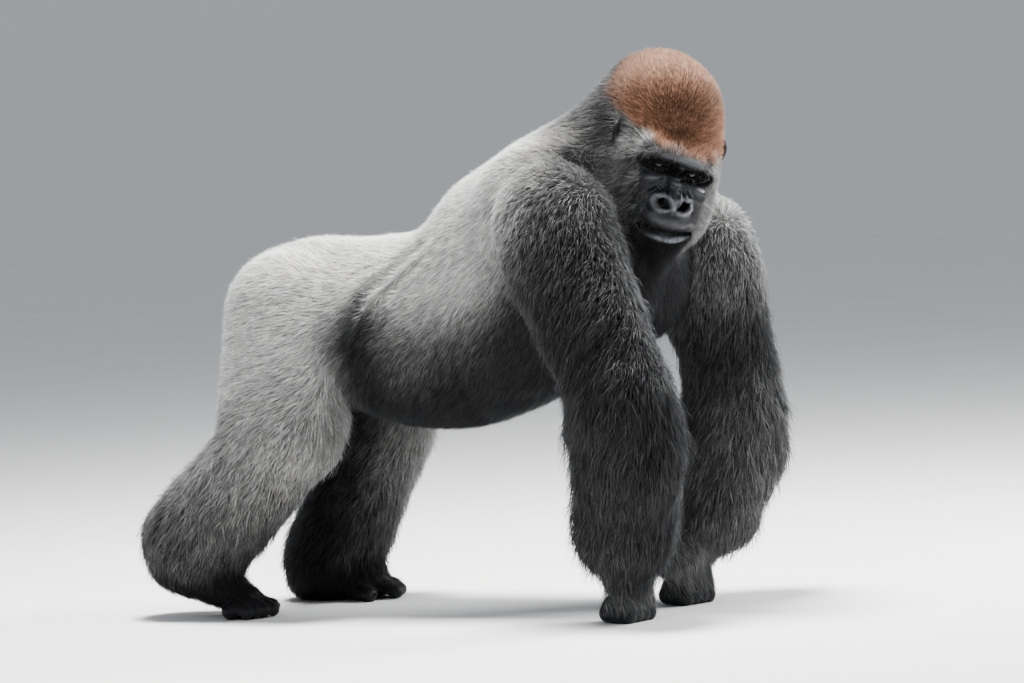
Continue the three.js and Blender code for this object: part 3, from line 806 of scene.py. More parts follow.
def trunk_lightness(p, x, z):
    """Silver over the back, the rump and the flanks, grey on the shoulders, black below; painted
    shade in the groove before the thigh, in the waist fold's valley, under the belly and between the
    arms.
    """
    y = np.abs(p[:, 1])
    heights, places = np.array(SADDLE, float).T
    ahead = x - np.interp(z, heights, places)
    shoulder = mix(0.06, 0.63, ramp(z, 640, 920)) * mix(1, 0.55, ramp(x, 320, 460))
    # the belly's black is partly its hair and partly painted shade underneath
    flank = mix(0.24 * ramp(z, 460, 570), 0.95, ramp(z, 545, 760))
    off = p[:, 0] - np.interp(p[:, 2], *np.array(WAIST, float).T)
    side = ramp(y, 90, 150)
    # painted shade in the groove before the thigh and in the waist fold's valley
    groove_shade = side * fade(z, 620, 720) * dent(off - 42, 66)
    valley_shade = side * ramp(z, 600, 680) * fade(z, 800, 880) * dent(off + 4, 22)
    flank = flank * (1 - 0.82 * groove_shade) * (1 - 0.45 * valley_shade)
    nape = 1 - 0.5 * ramp(z, 900, 1000) * ramp(x, 290, 400)
    # the chest between the arms is darker, partly its black hair and partly painted shade
    chest = 1 - 0.75 * ramp(x, 440, 530) * fade(y, 90, 170)
    return mix(flank, shoulder, ramp(ahead, -60, 130)) * nape * chest


def leg_lightness(p, z):
    """Silver outside and along the front, dark on the inner side and down at the foot."""
    front = np.zeros(len(p))
    for side in SIDES:
        leg = LEG[side]
        heights, places = zip(leg["ankle"][::-2], leg["knee"][::-2])
        ahead = p[:, 0] - np.interp(p[:, 2], heights, places)
        front = np.maximum(front, ramp(ahead, 20, 80) * (p[:, 1] * side > 0))
    outer = ramp(np.abs(p[:, 1]), 110, 190)
    return mix(0.22, 0.60, ramp(z, 130, 430)) * ramp(z, 84, 140) * mix(
        0.22, 1, np.maximum(outer, front * 0.8))


def lightness(p, kinds):
    """How light the coat is: 0 is black and 1 is silver."""
    x = p[:, 0] + (noise(p, 90, 5) - 0.5) * 50
    z = p[:, 2] + (noise(p, 90, 8) - 0.5) * 40
    y = p[:, 1]
    trunk = trunk_lightness(p, x, z)
    # painted light: the left arm and shoulder are paler than the right, where light falls on them
    arm = mix(0.09, 0.29, ramp(z, 600, 900)) + 0.24 * ramp(y, 0, 100) * ramp(z, 560, 760)
    levels = dict(
        head=head_lightness(p),
        # painted shade: the neck darkens forward, in the hollow under and behind the head
        neck=mix(0.16, 0.33, ramp(z, 900, 1060)) * mix(1, 0.6, ramp(x, 430, 510)),
        trunk=trunk,
        upper_arm=mix(arm, trunk, ramp(z, 660, 850) * (y < 0)),
        # painted light: the left forearm is paler than the right, where light falls on it
        forearm=0.095 + 0.2 * ramp(y, 0, 100),
        hand=0.42 + 0 * x,
        thigh=mix(0.62, 1.0, ramp(z, 400, 620)) * mix(0.25, 1.0, ramp(np.abs(y), 70, 150)),
        shank=leg_lightness(p, z),
        foot=0.04 + 0 * x,
    )
    return sum(kinds[:, n] * levels[kind] for n, kind in enumerate(KINDS))


def cap(p, kinds):
    """The share of the brown cap."""
    f, l, u, _ = head_place(p)
    wander = (noise(p, 30, 6) - 0.5) * 16
    edge = u + wander - 69 + 0.12 * l + 0.12 * np.maximum(l, 0) + 0.16 * f
    back = f + 0.35 * u + wander
    return ramp(edge, -8, 10) * ramp(back, -52, -8) * of_kind(kinds, "head")


def cap_fold_shade(p):
    """Painted shade in the fold low in the middle of the cap."""
    f, l, u, _ = head_place(p)
    return dent(u - 82 + 0.2 * np.abs(l), 13) * dent(l + 6, 34) * (f > 0)


def coat_colour(p, kinds, chance):
    """The hair's colour in points. The chance, from 0 to 1, lightens or darkens it."""
    light = lightness(p, kinds)
    spread = 0.07 + 0.62 * np.sqrt(np.clip(light * (1.06 - light), 0, 1))
    t = np.clip(light + (chance - 0.5) * spread, 0, 1) ** 1.6
    colour = BLACK_HAIR + np.outer(t * (0.62 + 0.72 * chance), SILVER_HAIR - BLACK_HAIR)
    # painted light: the brown is lighter low on the cap, where it turns down and away from the light
    low = 1 + 0.45 * fade(head_place(p)[2], 70, 150)
    brown = BROWN_HAIR * ((0.45 + 1.1 * chance) * low)[:, None]
    fleck = 0.3 * ramp(chance, 0.72, 1)[:, None]
    # the fold low on the cap darkens the brown as painted shade
    brown = (brown * (1 - fleck) + GREY_HAIR * fleck) * (1 - 0.3 * cap_fold_shade(p)[:, None])
    share = cap(p, kinds)[:, None]
    return colour * (1 - share) + brown * share


def face_hole_shade(l, u, level):
    """Painted shade: 1 in the sockets under the brow, the nostrils and the line of the mouth."""
    out = np.abs(l)
    socket_shade = fade(np.hypot((out - 44) / 56, (level - 2) / 20), 0.75, 1.0)
    slant = u - NOSTRIL_UP - 0.5 * (out - NOSTRIL_LEFT)
    nostril = dent(np.hypot((out - NOSTRIL_LEFT) / 16, slant / 7), 0.9)
    mouth = dent(u - MOUTH_UP, 4.5) * fade(out, 70, 86)
    return np.clip(socket_shade + nostril + mouth, 0, 1)


def skin_colour(p):
    """Bare skin: black, with painted shade in the sockets, the mouth and the nostrils, and painted
    highlights on the brow, the nose's rims, the lips, the chin, under the eyes and over the bridge.
    """
    f, l, u, level = head_place(p)
    out = np.abs(l)
    # painted highlights where the shiny skin catches the light: brow, nose rims, lips, chin, under
    # the eyes and the bridge
    brow = dent(level - 40, 9) * fade(out, 66, 88)
    wings = dent(np.hypot((out - 23) / 23, (u - NOSTRIL_UP) / 17) - 1, 0.24)
    wings = wings + dent(np.hypot((out + 23) / 23, (u - NOSTRIL_UP) / 17) - 1, 0.24)
    lip = dent(u + 100, 15) * fade(out, 30, 60)
    # the lower lip's painted highlight lies only on its far half, where the light falls
    lower = dent(u + 142, 8) * fade(out, 44, 66) * ramp(l, -56, -8)
    chin = dent(u + 170, 16) * fade(out, 20, 46)
    under = dent(level + 26, 12) * ramp(out, 14, 30) * fade(out, 56, 76)
    bridge = dent(l, 13) * dent(level + 18, 18)
    painted_highlight = (0.8 * brow + 0.6 * wings + 0.2 * lip + 0.7 * lower + 0.3 * chin + 0.3 * under
           + 0.25 * bridge)
    hole_shade = face_hole_shade(l, u, level)
    painted_highlight = np.clip(painted_highlight, 0, 1) * ramp(f, 70, 96) * (1 - hole_shade)
    patchy = 0.75 + 0.5 * noise(p, 9, 71)
    # painted shade: the sockets, nostrils and mouth line are made near black, for the shade under the
    # brow and inside the openings
    colour = FACE_SKIN * (1 - 0.85 * hole_shade[:, None])
    return colour + (PAINTED_HIGHLIGHT_SKIN - FACE_SKIN) * (painted_highlight * patchy)[:, None]


# ---- The lie of the coat ----
COAT = dict(  # length and width of a tuft in mm, and tufts per square cm before the budget
    head=(15, 1.0, 24),
    neck=(26, 1.4, 13),
    trunk=(26, 1.4, 12.5),
    upper_arm=(42, 1.5, 10),
    forearm=(62, 1.7, 10),
    hand=(30, 1.6, 11),
    thigh=(29, 1.4, 12.5),
    shank=(44, 1.5, 10),
    foot=(18, 1.4, 11),
)


PLAIN_LIE = dict(neck=(-0.8, 0, -0.75), thigh=(-1, 0, -0.5), shank=(-0.55, 0, -1),
                 foot=(1, 0, -0.3), hand=(0.35, 0, -1))


def trunk_lie(p, normal):
    under = (1 - normal[:, 2]) / 2
    front = ramp(normal[:, 0], 0.2, 0.85) * ramp(p[:, 0], 250, 420)
    return -1 + 0.75 * under + 0.7 * front, 0.25 * np.sign(p[:, 1]), -0.1 - 1.1 * under - front


def head_lie(p):
    """Back over the crown, down the cheeks, and forward and down in the beard."""
    up = head_place(p)[2]
    cheek = HEAD[0] * -0.75 - HEAD[2] * 0.9
    crown = HEAD[0] * -1 + HEAD[2] * 0.35
    chin = HEAD[0] * 0.4 - HEAD[2]
    upper = mix(cheek, crown, ramp(up, 20, 70)[:, None])
    return mix(upper, chin, ramp(-up, 90, 150)[:, None]).T


def arm_lie(kind, p, normal):
    """Down the arm, and backwards and outwards on top of the shoulder."""
    above = ramp(normal[:, 2], 0.1, 0.8) * (kind == "upper_arm")
    behind = ramp(-normal[:, 0], 0.3, 0.9) * 0.35
    return (mix(-0.28 - behind, -0.9, above), 0.55 * above * np.sign(p[:, 1]),
            mix(-1, -0.35, above))


def lie_of(kind, p, normal):
    """The way the hair points, before it is laid along the skin."""
    if kind in PLAIN_LIE:
        way = PLAIN_LIE[kind]
    elif kind == "trunk":
        way = trunk_lie(p, normal)
    elif kind == "head":
        way = head_lie(p)
    else:
        way = arm_lie(kind, p, normal)
    out = np.zeros((len(p), 3))
    out[:, 0], out[:, 1], out[:, 2] = way
    return units(out)


def lie(p, normal, kinds):
    """The way each tuft points along the skin."""
    total = np.zeros_like(p)
    for n, kind in enumerate(KINDS):
        near = kinds[:, n] > 0.02
        if near.any():
            total[near] += lie_of(kind, p[near], normal[near]) * kinds[near, n][:, None]
    for axis in range(3):
        total[:, axis] += (noise(p, 70, 20 + axis) - 0.5) * 0.4
    along = total - normal * (total * normal).sum(1, keepdims=True)
    return units(along + vec(0, 0, -0.02))


# ---- Tufts ----
COAT_SEED = 7
TRIANGLE_BUDGET = 1_400_000  # for the whole coat
CLUMP = 6.5  # the tufts in a cube of this size are alike
HOLD_STEP = 14  # how far a tuft's point may be moved at once to keep its height
LOWEST_TUFT = 0.4  # no tuft goes nearer to the floor
ROOT_SHADE, TIP_GAIN = 0.62, 0.5  # a tuft is darkest at its root
SKIN_SHADING, TUFT_SHADING = 0.7, 0.5  # the skin's and the tuft's own share in its normals
ROOT_DEPTH = 1.2  # how far a tuft starts below the skin
SHORT_TUFT = ((0, 2, 1), (0, 1, 3), (1, 2, 3), (2, 0, 3))
LONG_TUFT = ((0, 1, 3), (1, 2, 3), (2, 0, 3), (1, 0, 4), (2, 1, 4), (0, 2, 4))
LONG_HAIR = np.array([kind in ("upper_arm", "forearm", "shank") for kind in KINDS], float)


class Skin:
    """The skin's mesh, and the share that each part and each kind of part has in its vertices."""

    def __init__(self, vertices, triangles):
        self.vertices, self.triangles = vertices, triangles
        self.normals = normals_of(vertices, triangles)
        self.share = shares(vertices)[1]
        self.kinds = kind_shares(self.share)


def table(column):
    """One column of COAT, in the order of KINDS."""
    return np.array([COAT[kind][column] for kind in KINDS], float)


def hairless(p, kinds):
    """The share of skin that is bare: the face, the fingers, and the soles."""
    face = np.maximum(bareness(p), near_ears(p)) * of_kind(kinds, "head")
    low = of_kind(kinds, "hand") * fade(p[:, 2], 26, 64)
    sole = of_kind(kinds, "foot") * fade(p[:, 2], 14, 34)
    return np.clip(face + low + sole, 0, 1)


def scatter(skin, chance):
    """Roots all over the skin, as many as the zone they stand in asks for."""
    corners = skin.vertices[skin.triangles]
    area = lengths(np.cross(corners[:, 1] - corners[:, 0], corners[:, 2] - corners[:, 0])) / 2
    middle = corners.mean(1)
    kinds = skin.kinds[skin.triangles].mean(1)
    per_area = kinds @ table(2) / 100 * (1 - hairless(middle, kinds))
    per_area[middle[:, 2] < 3] = 0
    wanted = area * per_area
    long = kinds @ LONG_HAIR > 0.5
    faces = np.where(long, len(LONG_TUFT), len(SHORT_TUFT))
    wanted *= TRIANGLE_BUDGET / (wanted * faces).sum()
    edges = np.cumsum(wanted)
    count = int(edges[-1])
    at = np.searchsorted(edges, (np.arange(count) + chance.random(count)) * edges[-1] / count)
    at = np.minimum(at, len(edges) - 1)
    a, b = chance.random((2, count))
    fold = a + b > 1
    a[fold], b[fold] = 1 - a[fold], 1 - b[fold]
    weights = np.stack([1 - a - b, a, b], 1)
    ends = skin.triangles[at]

    def blend(values):
        return (values[ends] * weights[:, :, None]).sum(1)

    return blend(skin.vertices), units(blend(skin.normals)), blend(skin.share), long[at]


def near_ears(p):
    """1 at the ears, which carry no tufts."""
    near = np.zeros(len(p))
    for side in SIDES:
        near = np.maximum(near, fade(lengths(p - ear_centre(side)), 26, 38))
    return near


def grow(root, normal, share, chance):
    """The middle and the tip of each tuft, and its width."""
    kinds = kind_shares(share)
    count = len(root)
    along = lie(root, normal, kinds)
    clump = root + (noise(root, 40, 31)[:, None] - 0.5) * 30
    size = 5.5 + 5.5 * (kinds @ LONG_HAIR)
    cells = np.floor(clump / size[:, None])
    sway = np.stack([hashed(cells, seed) for seed in (41, 42, 43)], 1) - 0.5
    long = kinds @ LONG_HAIR
    loose = 0.16 + 0.50 * long
    wild = 0.20 + 0.16 * of_kind(kinds, "head")[:, None]
    along = along + sway * loose[:, None] + chance.normal(0, 1, (count, 3)) * wild
    along = units(along - normal * (along * normal).sum(1, keepdims=True))
    length = (kinds @ table(0)) * (0.7 + 0.6 * chance.random(count)) * longer(root, normal, kinds)
    depth = coat_depth(root, share)
    lumps = 0.65 + 0.7 * noise(root, 45, 51) * long + 0.35 * (1 - long)
    rise = depth * lumps * (0.35 + 0.55 * hashed(cells, 44) + 0.25 * chance.random(count))
    wisp = chance.random(count) < 0.05 + 0.07 * long
    rise = np.minimum(rise * np.where(wisp, 1.45, 1), length * 0.85)
    run = np.sqrt(length ** 2 - rise ** 2)
    middle = root + along * (run * 0.5)[:, None] + normal * (rise * 0.75)[:, None]
    tip = root + along * run[:, None] + normal * rise[:, None]
    middle = held(middle, normal, rise * 0.8 - depth)
    tip = np.where(wisp[:, None], tip, held(tip, normal, rise - depth))
    droop = long * 0.12 * length
    tip[:, 2] -= droop
    middle[:, 2] -= droop * 0.3
    width = (kinds @ table(1)) * (0.7 + 0.6 * chance.random(count))
    return middle, tip, width, kinds


def longer(p, normal, kinds):
    """Where the hair is longer than its part's: elbows, wrists, the belly's edge, the beard."""
    f, l, u, _ = head_place(p)
    x, y, z = p.T
    grown = np.ones(len(p))
    for side in SIDES:
        elbow = np.array(ARM[side]["elbow"]) + vec(-110, 0, -55)
        wrist = np.array(ARM[side]["wrist"]) + vec(-70, 0, 25)
        grown += 0.5 * dent(lengths(p - elbow), 80)
        grown += 0.4 * dent(lengths(p - wrist), 80)
    beard = ramp(-u, 120, 165) * of_kind(kinds, "head") * ramp(f, 0, 40)
    fringe = of_kind(kinds, "trunk") * ramp(-normal[:, 2], 0.3, 0.8)
    thighs = of_kind(kinds, "thigh") * ramp(normal[:, 0], 0.3, 0.9) * 0.5
    jaw = of_kind(kinds, "head") * ramp(np.abs(l), 50, 80) * 0.4
    short = 0.42 * of_kind(kinds, "upper_arm") * ramp(z, 640, 830) + 0.3 * cap(p, kinds)
    return (grown + 1.2 * beard + 0.4 * fringe + thighs + jaw) * (1 - short)


def held(p, normal, wanted):
    """Points moved along the normal until they lie at the wanted distance from the coat's outside."""
    for _ in range(2):
        off = wanted - shares(p)[0]
        p = p + normal * np.clip(off, -HOLD_STEP, HOLD_STEP)[:, None]
    return p


def tufts(root, middle, tip, normal, width, long):
    """Closed tufts, each with 4 faces, or 6 where it is long.

    Gives their vertices and triangles, and for each vertex its tuft, its place across and
    along the tuft, and the way its normal leans.
    """
    along = units(tip - root)
    left = units(np.cross(normal, along))
    top = units(np.cross(along, left))
    side, up, front = left * (width / 2)[:, None], top * (width * 0.4)[:, None], along * 0.4
    root = root - normal * ROOT_DEPTH
    found = []
    start = 0
    for own, shape, waist in ((np.flatnonzero(~long), SHORT_TUFT, 0),
                              (np.flatnonzero(long), LONG_TUFT, 0.5)):
        foot = (middle if waist else root)[own]
        corners = [foot - side[own], foot + side[own], foot + up[own], tip[own]]
        leans = [-left[own], left[own], top[own], front[own]]
        where = [(-1, waist), (1, waist), (0, waist), (0, 1)]
        if waist:
            corners.append(root[own])
            leans.append(-front[own])
            where.append((0, 0))
        many, size = len(own), len(corners)
        faces = np.arange(many)[:, None, None] * size + np.array(shape) + start
        start += many * size
        found.append((np.stack(corners, 1).reshape(-1, 3), faces.reshape(-1, 3),
                      np.repeat(own, size), np.tile(where, (many, 1)),
                      np.stack(leans, 1).reshape(-1, 3)))
    return [np.concatenate(group) for group in zip(*found)]


# ---- Meshes ----
def frame_shift():
    """From the body's own axes to the frame, in mm: the eyes of the frame say how far."""
    low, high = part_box("eye_left")
    centre = (np.array(low) + np.array(high)) / 2
    return centre / MM - eye_centre(LEFT)


SHIFT = frame_shift()


def mesh_from(name, vertices, faces, normals=None):
    """A smooth mesh from vertices in mm and faces of one size."""
    mesh = bpy.data.meshes.new(name)
    count, corners = faces.shape
    mesh.vertices.add(len(vertices))
    mesh.vertices.foreach_set("co", ((vertices + SHIFT) * MM).astype(np.float32).ravel())
    mesh.loops.add(count * corners)
    mesh.loops.foreach_set("vertex_index", faces.astype(np.int32).ravel())
    mesh.polygons.add(count)
    mesh.polygons.foreach_set("loop_start", np.arange(count, dtype=np.int32) * corners)
    mesh.polygons.foreach_set("use_smooth", np.ones(count, bool))
    mesh.update(calc_edges=True)
    if normals is not None:
        mesh.normals_split_custom_set_from_vertices(normals.astype(np.float32))
    return mesh


def put(name, data):
    """An object with the data, in the scene."""
    made = bpy.data.objects.new(name, data)
    bpy.context.scene.collection.objects.link(made)
    return made


def place(name, mesh, material, slot, *replaced):
    """Adds a piece to the scene on the one body of the frame."""
    piece = put(name, mesh)
    mesh.materials.append(material)
    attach(piece, "root")
    if replaced:
        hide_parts(*replaced)


def paint(mesh, name, colour):
    """Stores a colour for each vertex."""
    attribute = mesh.color_attributes.new(name, "FLOAT_COLOR", "POINT")
    full = np.ones((len(colour), 4), np.float32)
    full[:, :3] = colour
    attribute.data.foreach_set("color", full.ravel())


def measure(mesh, name, values):
    """Stores a number for each vertex."""
    attribute = mesh.attributes.new(name, "FLOAT", "POINT")
    attribute.data.foreach_set("value", values.astype(np.float32))


PATCH = 0.003  # the size of a tuft's patch in the map


def unwrap(mesh, root, where, faces, axis):
    """A map where each tuft is a small patch at its root's place round the part's long axis."""
    low, high = root.min(0), root.max(0)
    q = (root - (low + high) / 2) / np.maximum((high - low) / 2, 1)
    q = units(np.roll(q, 2 - axis, axis=1))
    u = np.arctan2(q[:, 1], q[:, 0]) / (2 * math.pi) + 0.5
    v = np.arccos(np.clip(q[:, 2], -1, 1)) / math.pi
    uv = np.stack([u, v], 1) * (1 - 2 * PATCH) + PATCH + where * (PATCH / 2, PATCH)
    layer = mesh.uv_layers.new(name="OFBake")
    layer.data.foreach_set("uv", uv[faces.ravel()].astype(np.float32).ravel())


# ---- Materials ----
def node_tools(tree):
    """Short ways to add and to join the nodes of a tree."""
    def node(kind, **settings):
        made = tree.nodes.new("ShaderNode" + kind)
        for key, value in settings.items():
            if key in made.inputs:
                made.inputs[key].default_value = value
            else:
                setattr(made, key, value)
        return made

    return node, tree.links.new


def new_material(name):
    """A material, its Principled shader, and short ways to add and join its nodes."""
    material = bpy.data.materials.new(name)
    material.use_nodes = True
    tree = material.node_tree
    return material, tree.nodes["Principled BSDF"], *node_tools(tree)


def give(node, **values):
    """Sets a node's own sockets, named with _ for a space."""
    for name, value in values.items():
        node.inputs[name.replace("_", " ")].default_value = value


def add_bump(shader, node, join, heights, strength, distance):
    """Adds up heights, each a node's output and its weight, as one bump."""
    total = None
    for output, weight in heights:
        scaled = node("Math", operation="MULTIPLY")
        scaled.inputs[1].default_value = weight
        join(output, scaled.inputs[0])
        if total is not None:
            both = node("Math", operation="ADD")
            join(total, both.inputs[0])
            join(scaled.outputs[0], both.inputs[1])
            scaled = both
        total = scaled.outputs[0]
    bump = node("Bump", Strength=strength, Distance=distance)
    join(total, bump.inputs["Height"])
    join(bump.outputs[0], shader.inputs["Normal"])


def varied_colour(shader, node, join, colour, scale, low, high):
    """Lets a soft noise lighten and darken a colour on its way to the shader."""
    coordinates = node("TexCoord").outputs["Object"]
    cloud = node("TexNoise", Scale=scale, Detail=4.0)
    join(coordinates, cloud.inputs["Vector"])
    level = node("MapRange")
    give(level, From_Min=0.3, From_Max=0.7, To_Min=low, To_Max=high)
    join(cloud.outputs[0], level.inputs[0])
    times = node("VectorMath", operation="SCALE")
    join(colour, times.inputs[0])
    join(level.outputs[0], times.inputs["Scale"])
    join(times.outputs[0], shader.inputs["Base Color"])
    return coordinates


def hair_material(name, roughness, sheen):
    material, shader, node, join = new_material(name)
    colour = node("Attribute", attribute_name="coat_colour")
    varied_colour(shader, node, join, colour.outputs["Color"], 60.0, 0.85, 1.15)
    give(shader, Roughness=roughness, Specular_IOR_Level=0.22, Sheen_Weight=sheen,
         Sheen_Roughness=0.45, Sheen_Tint=(0.80, 0.86, 1.0, 1))
    return material


def skin_material():
    """Bare leathery skin on the face, hands and feet, and the felt of the undercoat elsewhere."""
    material, shader, node, join = new_material("skin")
    colour = node("Attribute", attribute_name="coat_colour")
    coordinates = varied_colour(shader, node, join, colour.outputs["Color"], 40.0, 0.75, 1.25)
    bare = node("Attribute", attribute_name="bareness")
    rough = node("MapRange")
    give(rough, To_Min=0.95, To_Max=0.40)
    join(bare.outputs["Fac"], rough.inputs[0])
    join(rough.outputs[0], shader.inputs["Roughness"])
    give(shader, Specular_IOR_Level=0.32)
    pores = node("TexVoronoi", Scale=420.0)
    creases = node("TexNoise", Scale=130.0, Detail=5.0, Distortion=0.6)
    for texture in (pores, creases):
        join(coordinates, texture.inputs["Vector"])
    add_bump(shader, node, join, [(pores.outputs["Distance"], 0.4), (creases.outputs[0], 0.8)],
             0.5, 0.0018)
    return material


def eye_material():
    material, shader, node, join = new_material("eye")
    colour = node("Attribute", attribute_name="eye_colour")
    varied_colour(shader, node, join, colour.outputs["Color"], 900.0, 0.7, 1.3)
    give(shader, Roughness=0.2, Coat_Weight=0.25, Coat_Roughness=0.05)
    return material


def nail_material():
    material, shader, node, join = new_material("nail")
    tint = node("RGB")
    tint.outputs[0].default_value = (0.030, 0.026, 0.026, 1)
    coordinates = varied_colour(shader, node, join, tint.outputs[0], 200.0, 0.6, 1.5)
    ridges = node("TexNoise", Scale=500.0, Detail=2.0)
    join(coordinates, ridges.inputs["Vector"])
    add_bump(shader, node, join, [(ridges.outputs[0], 1.0)], 0.3, 0.0006)
    give(shader, Roughness=0.35)
    return material


def floor_material():
    material, shader, node, join = new_material("floor")
    tint = node("RGB")
    tint.outputs[0].default_value = (0.72, 0.72, 0.715, 1)
    varied_colour(shader, node, join, tint.outputs[0], 1.5, 0.98, 1.02)
    give(shader, Roughness=0.9)
    return material


# ---- The stage ----
VIEW_AZIMUTH = math.radians(30)
VIEW_ELEVATION = math.radians(2.5)
VIEW_ROLL = 0.052  # the slope of the photographed ground, judged from the hands and feet
VIEW_DISTANCE, VIEW_HEIGHT = 10000, 600  # mm from the body's own origin
LENS, LENS_SHIFT = 156.4, 0.061


def view_axes():
    """Rightwards, upwards and backwards of the photograph's view, before its roll."""
    ca, sa = math.cos(VIEW_AZIMUTH), math.sin(VIEW_AZIMUTH)
    ce, se = math.cos(VIEW_ELEVATION), math.sin(VIEW_ELEVATION)
    return vec(ca, sa, 0), vec(-sa * se, ca * se, ce), vec(sa * ce, -ca * ce, se)


def make_camera():
    right, up, back = view_axes()
    at = up * VIEW_HEIGHT + back * VIEW_DISTANCE + SHIFT
    camera = bpy.data.cameras.new("camera")
    camera.lens = LENS
    camera.shift_x = LENS_SHIFT
    camera.clip_end = 100
    holder = put("camera", camera)
    turned = np.stack([unit(right - VIEW_ROLL * up), unit(up + VIEW_ROLL * right), back], 1)
    matrix = Matrix(turned.tolist()).to_4x4()
    matrix.translation = Vector(at * MM)
    holder.matrix_world = matrix
    bpy.context.scene.camera = holder


LIGHT_AIM = vec(0, 0, 0.6)


def make_light(name, rightwards, upwards, backwards, size, power, colour=(1, 1, 1)):
    """A square soft light that looks at the middle of the body, placed in metres from it."""
    right, up, back = view_axes()
    away = right * rightwards + vec(0, 0, upwards) + back * backwards
    light = bpy.data.lights.new(name, "AREA")
    light.shape = "SQUARE"
    light.size = size
    light.energy = power
    light.color = colour
    holder = put(name, light)
    holder.location = LIGHT_AIM + away
    holder.rotation_euler = Vector(away).to_track_quat("Z", "Y").to_euler()


SKY = (0.86, 0.90, 0.95, 1)
SKY_AT_FLOOR = (0.63, 0.66, 0.69, 1)  # as bright as the far floor is under the sky
SKY_STRENGTH = 0.52


def make_world():
    """An even sky that meets the floor with no visible edge."""
    world = bpy.data.worlds.new("world")
    world.use_nodes = True
    node, join = node_tools(world.node_tree)
    sky = world.node_tree.nodes["Background"]
    parts = node("SeparateXYZ")
    level = node("MapRange", interpolation_type="SMOOTHSTEP")
    give(level, From_Max=0.3)
    blend = node("MixRGB", Color1=SKY_AT_FLOOR, Color2=SKY)
    join(node("TexCoord").outputs["Generated"], parts.inputs[0])
    join(parts.outputs["Z"], level.inputs[0])
    join(level.outputs[0], blend.inputs["Fac"])
    join(blend.outputs[0], sky.inputs["Color"])
    give(sky, Strength=SKY_STRENGTH)
    bpy.context.scene.world = world


FLOOR_REACH, FLOOR_HEIGHT = 30, -0.0005  # metres from its middle, and just under the soles


def make_stage():
    mesh = bpy.data.meshes.new("floor")
    form = bmesh.new()
    bmesh.ops.create_grid(form, x_segments=8, y_segments=8, size=FLOOR_REACH)
    form.to_mesh(mesh)
    form.free()
    mesh.materials.append(floor_material())
    floor = put("floor", mesh)
    floor.location = (0, 0, FLOOR_HEIGHT)
    make_light("key", -0.2, 4.6, -0.1, 1.5, 760, (1, 0.985, 0.96))
    make_light("fill", -1.2, 2.4, 4.4, 2.0, 55, (0.95, 0.97, 1))
    make_light("rim", 3.4, 2.4, -0.6, 1.6, 230)
    make_world()
    bpy.context.scene.view_settings.look = "AgX - Medium High Contrast"


# ---- Pieces ----
UNDERCOAT_SHADE = 0.5  # how light the felt on the skin is beside the tufts


def make_skin(skin):
    bare = hairless(skin.vertices, skin.kinds)
    darkish = np.full(len(bare), 0.3)
    fleece = coat_colour(skin.vertices, skin.kinds, darkish) * UNDERCOAT_SHADE
    mesh = mesh_from("skin", skin.vertices, skin.triangles)
    paint(mesh, "coat_colour", mix(fleece, skin_colour(skin.vertices), bare[:, None]))
    hole_shade = face_hole_shade(*head_place(skin.vertices)[1:]) * (bareness(skin.vertices) > 0)
    measure(mesh, "bareness", bare * (1 - hole_shade))
    flesh = [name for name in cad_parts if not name.startswith("eye")]
    place("skin", mesh, skin_material(), "bare_skin", *flesh)


RUMP_END, FLANK_END = -180, 140


def coat_groups(root, share):
    """Which piece each tuft belongs to."""
    names = np.array(KINDS)[KIND_OF_PART[share.argmax(1)]].astype(object)
    zone = np.select([root[:, 0] < RUMP_END, root[:, 0] < FLANK_END], ["rump", "flank"], "chest")
    names = np.where(names == "trunk", zone, names)
    sided = names + np.where(root[:, 1] < 0, "_right", "_left").astype(object)
    return np.where(np.isin(names, ("head", "neck")), names, sided)


SLOT_OF = dict(head="coat_head", neck="coat_dark", rump="coat_silver", flank="coat_silver",
               chest="coat_dark", thigh="coat_silver", shank="coat_dark", upper="coat_dark",
               forearm="coat_dark", hand="coat_dark", foot="coat_dark")
# The roughness and the sheen of each kind of hair.
HAIR_LOOKS = dict(coat_silver=(0.7, 0.06), coat_dark=(0.5, 0.10), coat_head=(0.75, 0.05))
LONG_AXIS = dict(neck=0, rump=0, flank=0, chest=0, foot=0)  # the others run along Z


def make_coat(skin):
    """All the tufts, and a mesh for those of each piece."""
    chance = np.random.default_rng(COAT_SEED)
    root, normal, share, long = scatter(skin, chance)
    middle, tip, width, kinds = grow(root, normal, share, chance)
    clump = hashed(np.floor(root / CLUMP), 46)
    luck = 0.6 * clump + 0.4 * chance.random(len(root))
    tilt = chance.normal(0, 0.18, root.shape)
    colour = coat_colour(root, kinds, luck)
    pieces = coat_groups(root, share)
    materials = {slot: hair_material(slot, *looks) for slot, looks in HAIR_LOOKS.items()}
    for name in sorted(set(pieces)):
        own = np.flatnonzero(pieces == name)
        word = name.split("_")[0]
        slot = SLOT_OF[word]
        vertices, faces, owner, where, lean = tufts(
            *(values[own] for values in (root, middle, tip, normal, width, long)))
        vertices[:, 2] = np.maximum(vertices[:, 2], LOWEST_TUFT)
        shade = ROOT_SHADE + TIP_GAIN * where[:, 1]
        soft = units((normal + tilt)[own][owner] * SKIN_SHADING + lean * TUFT_SHADING)
        mesh = mesh_from("coat_" + name, vertices, faces, soft)
        paint(mesh, "coat_colour", colour[own][owner] * shade[:, None])
        unwrap(mesh, root[own][owner], where, faces, LONG_AXIS.get(word, 2))
        place("coat_" + name, mesh, materials[slot], slot)


EYE_RINGS, EYE_SPOKES = 40, 48
IRIS, PUPIL = math.radians(32), math.radians(13)  # half the angle that each spans
CORNEA = 0.07  # how far it bulges, as a share of the eye's radius
EYE_WHITE = vec(0.008, 0.006, 0.005)
EYE_BROWN = vec(0.016, 0.007, 0.004)
EYE_DARK = vec(0.004, 0.004, 0.004)


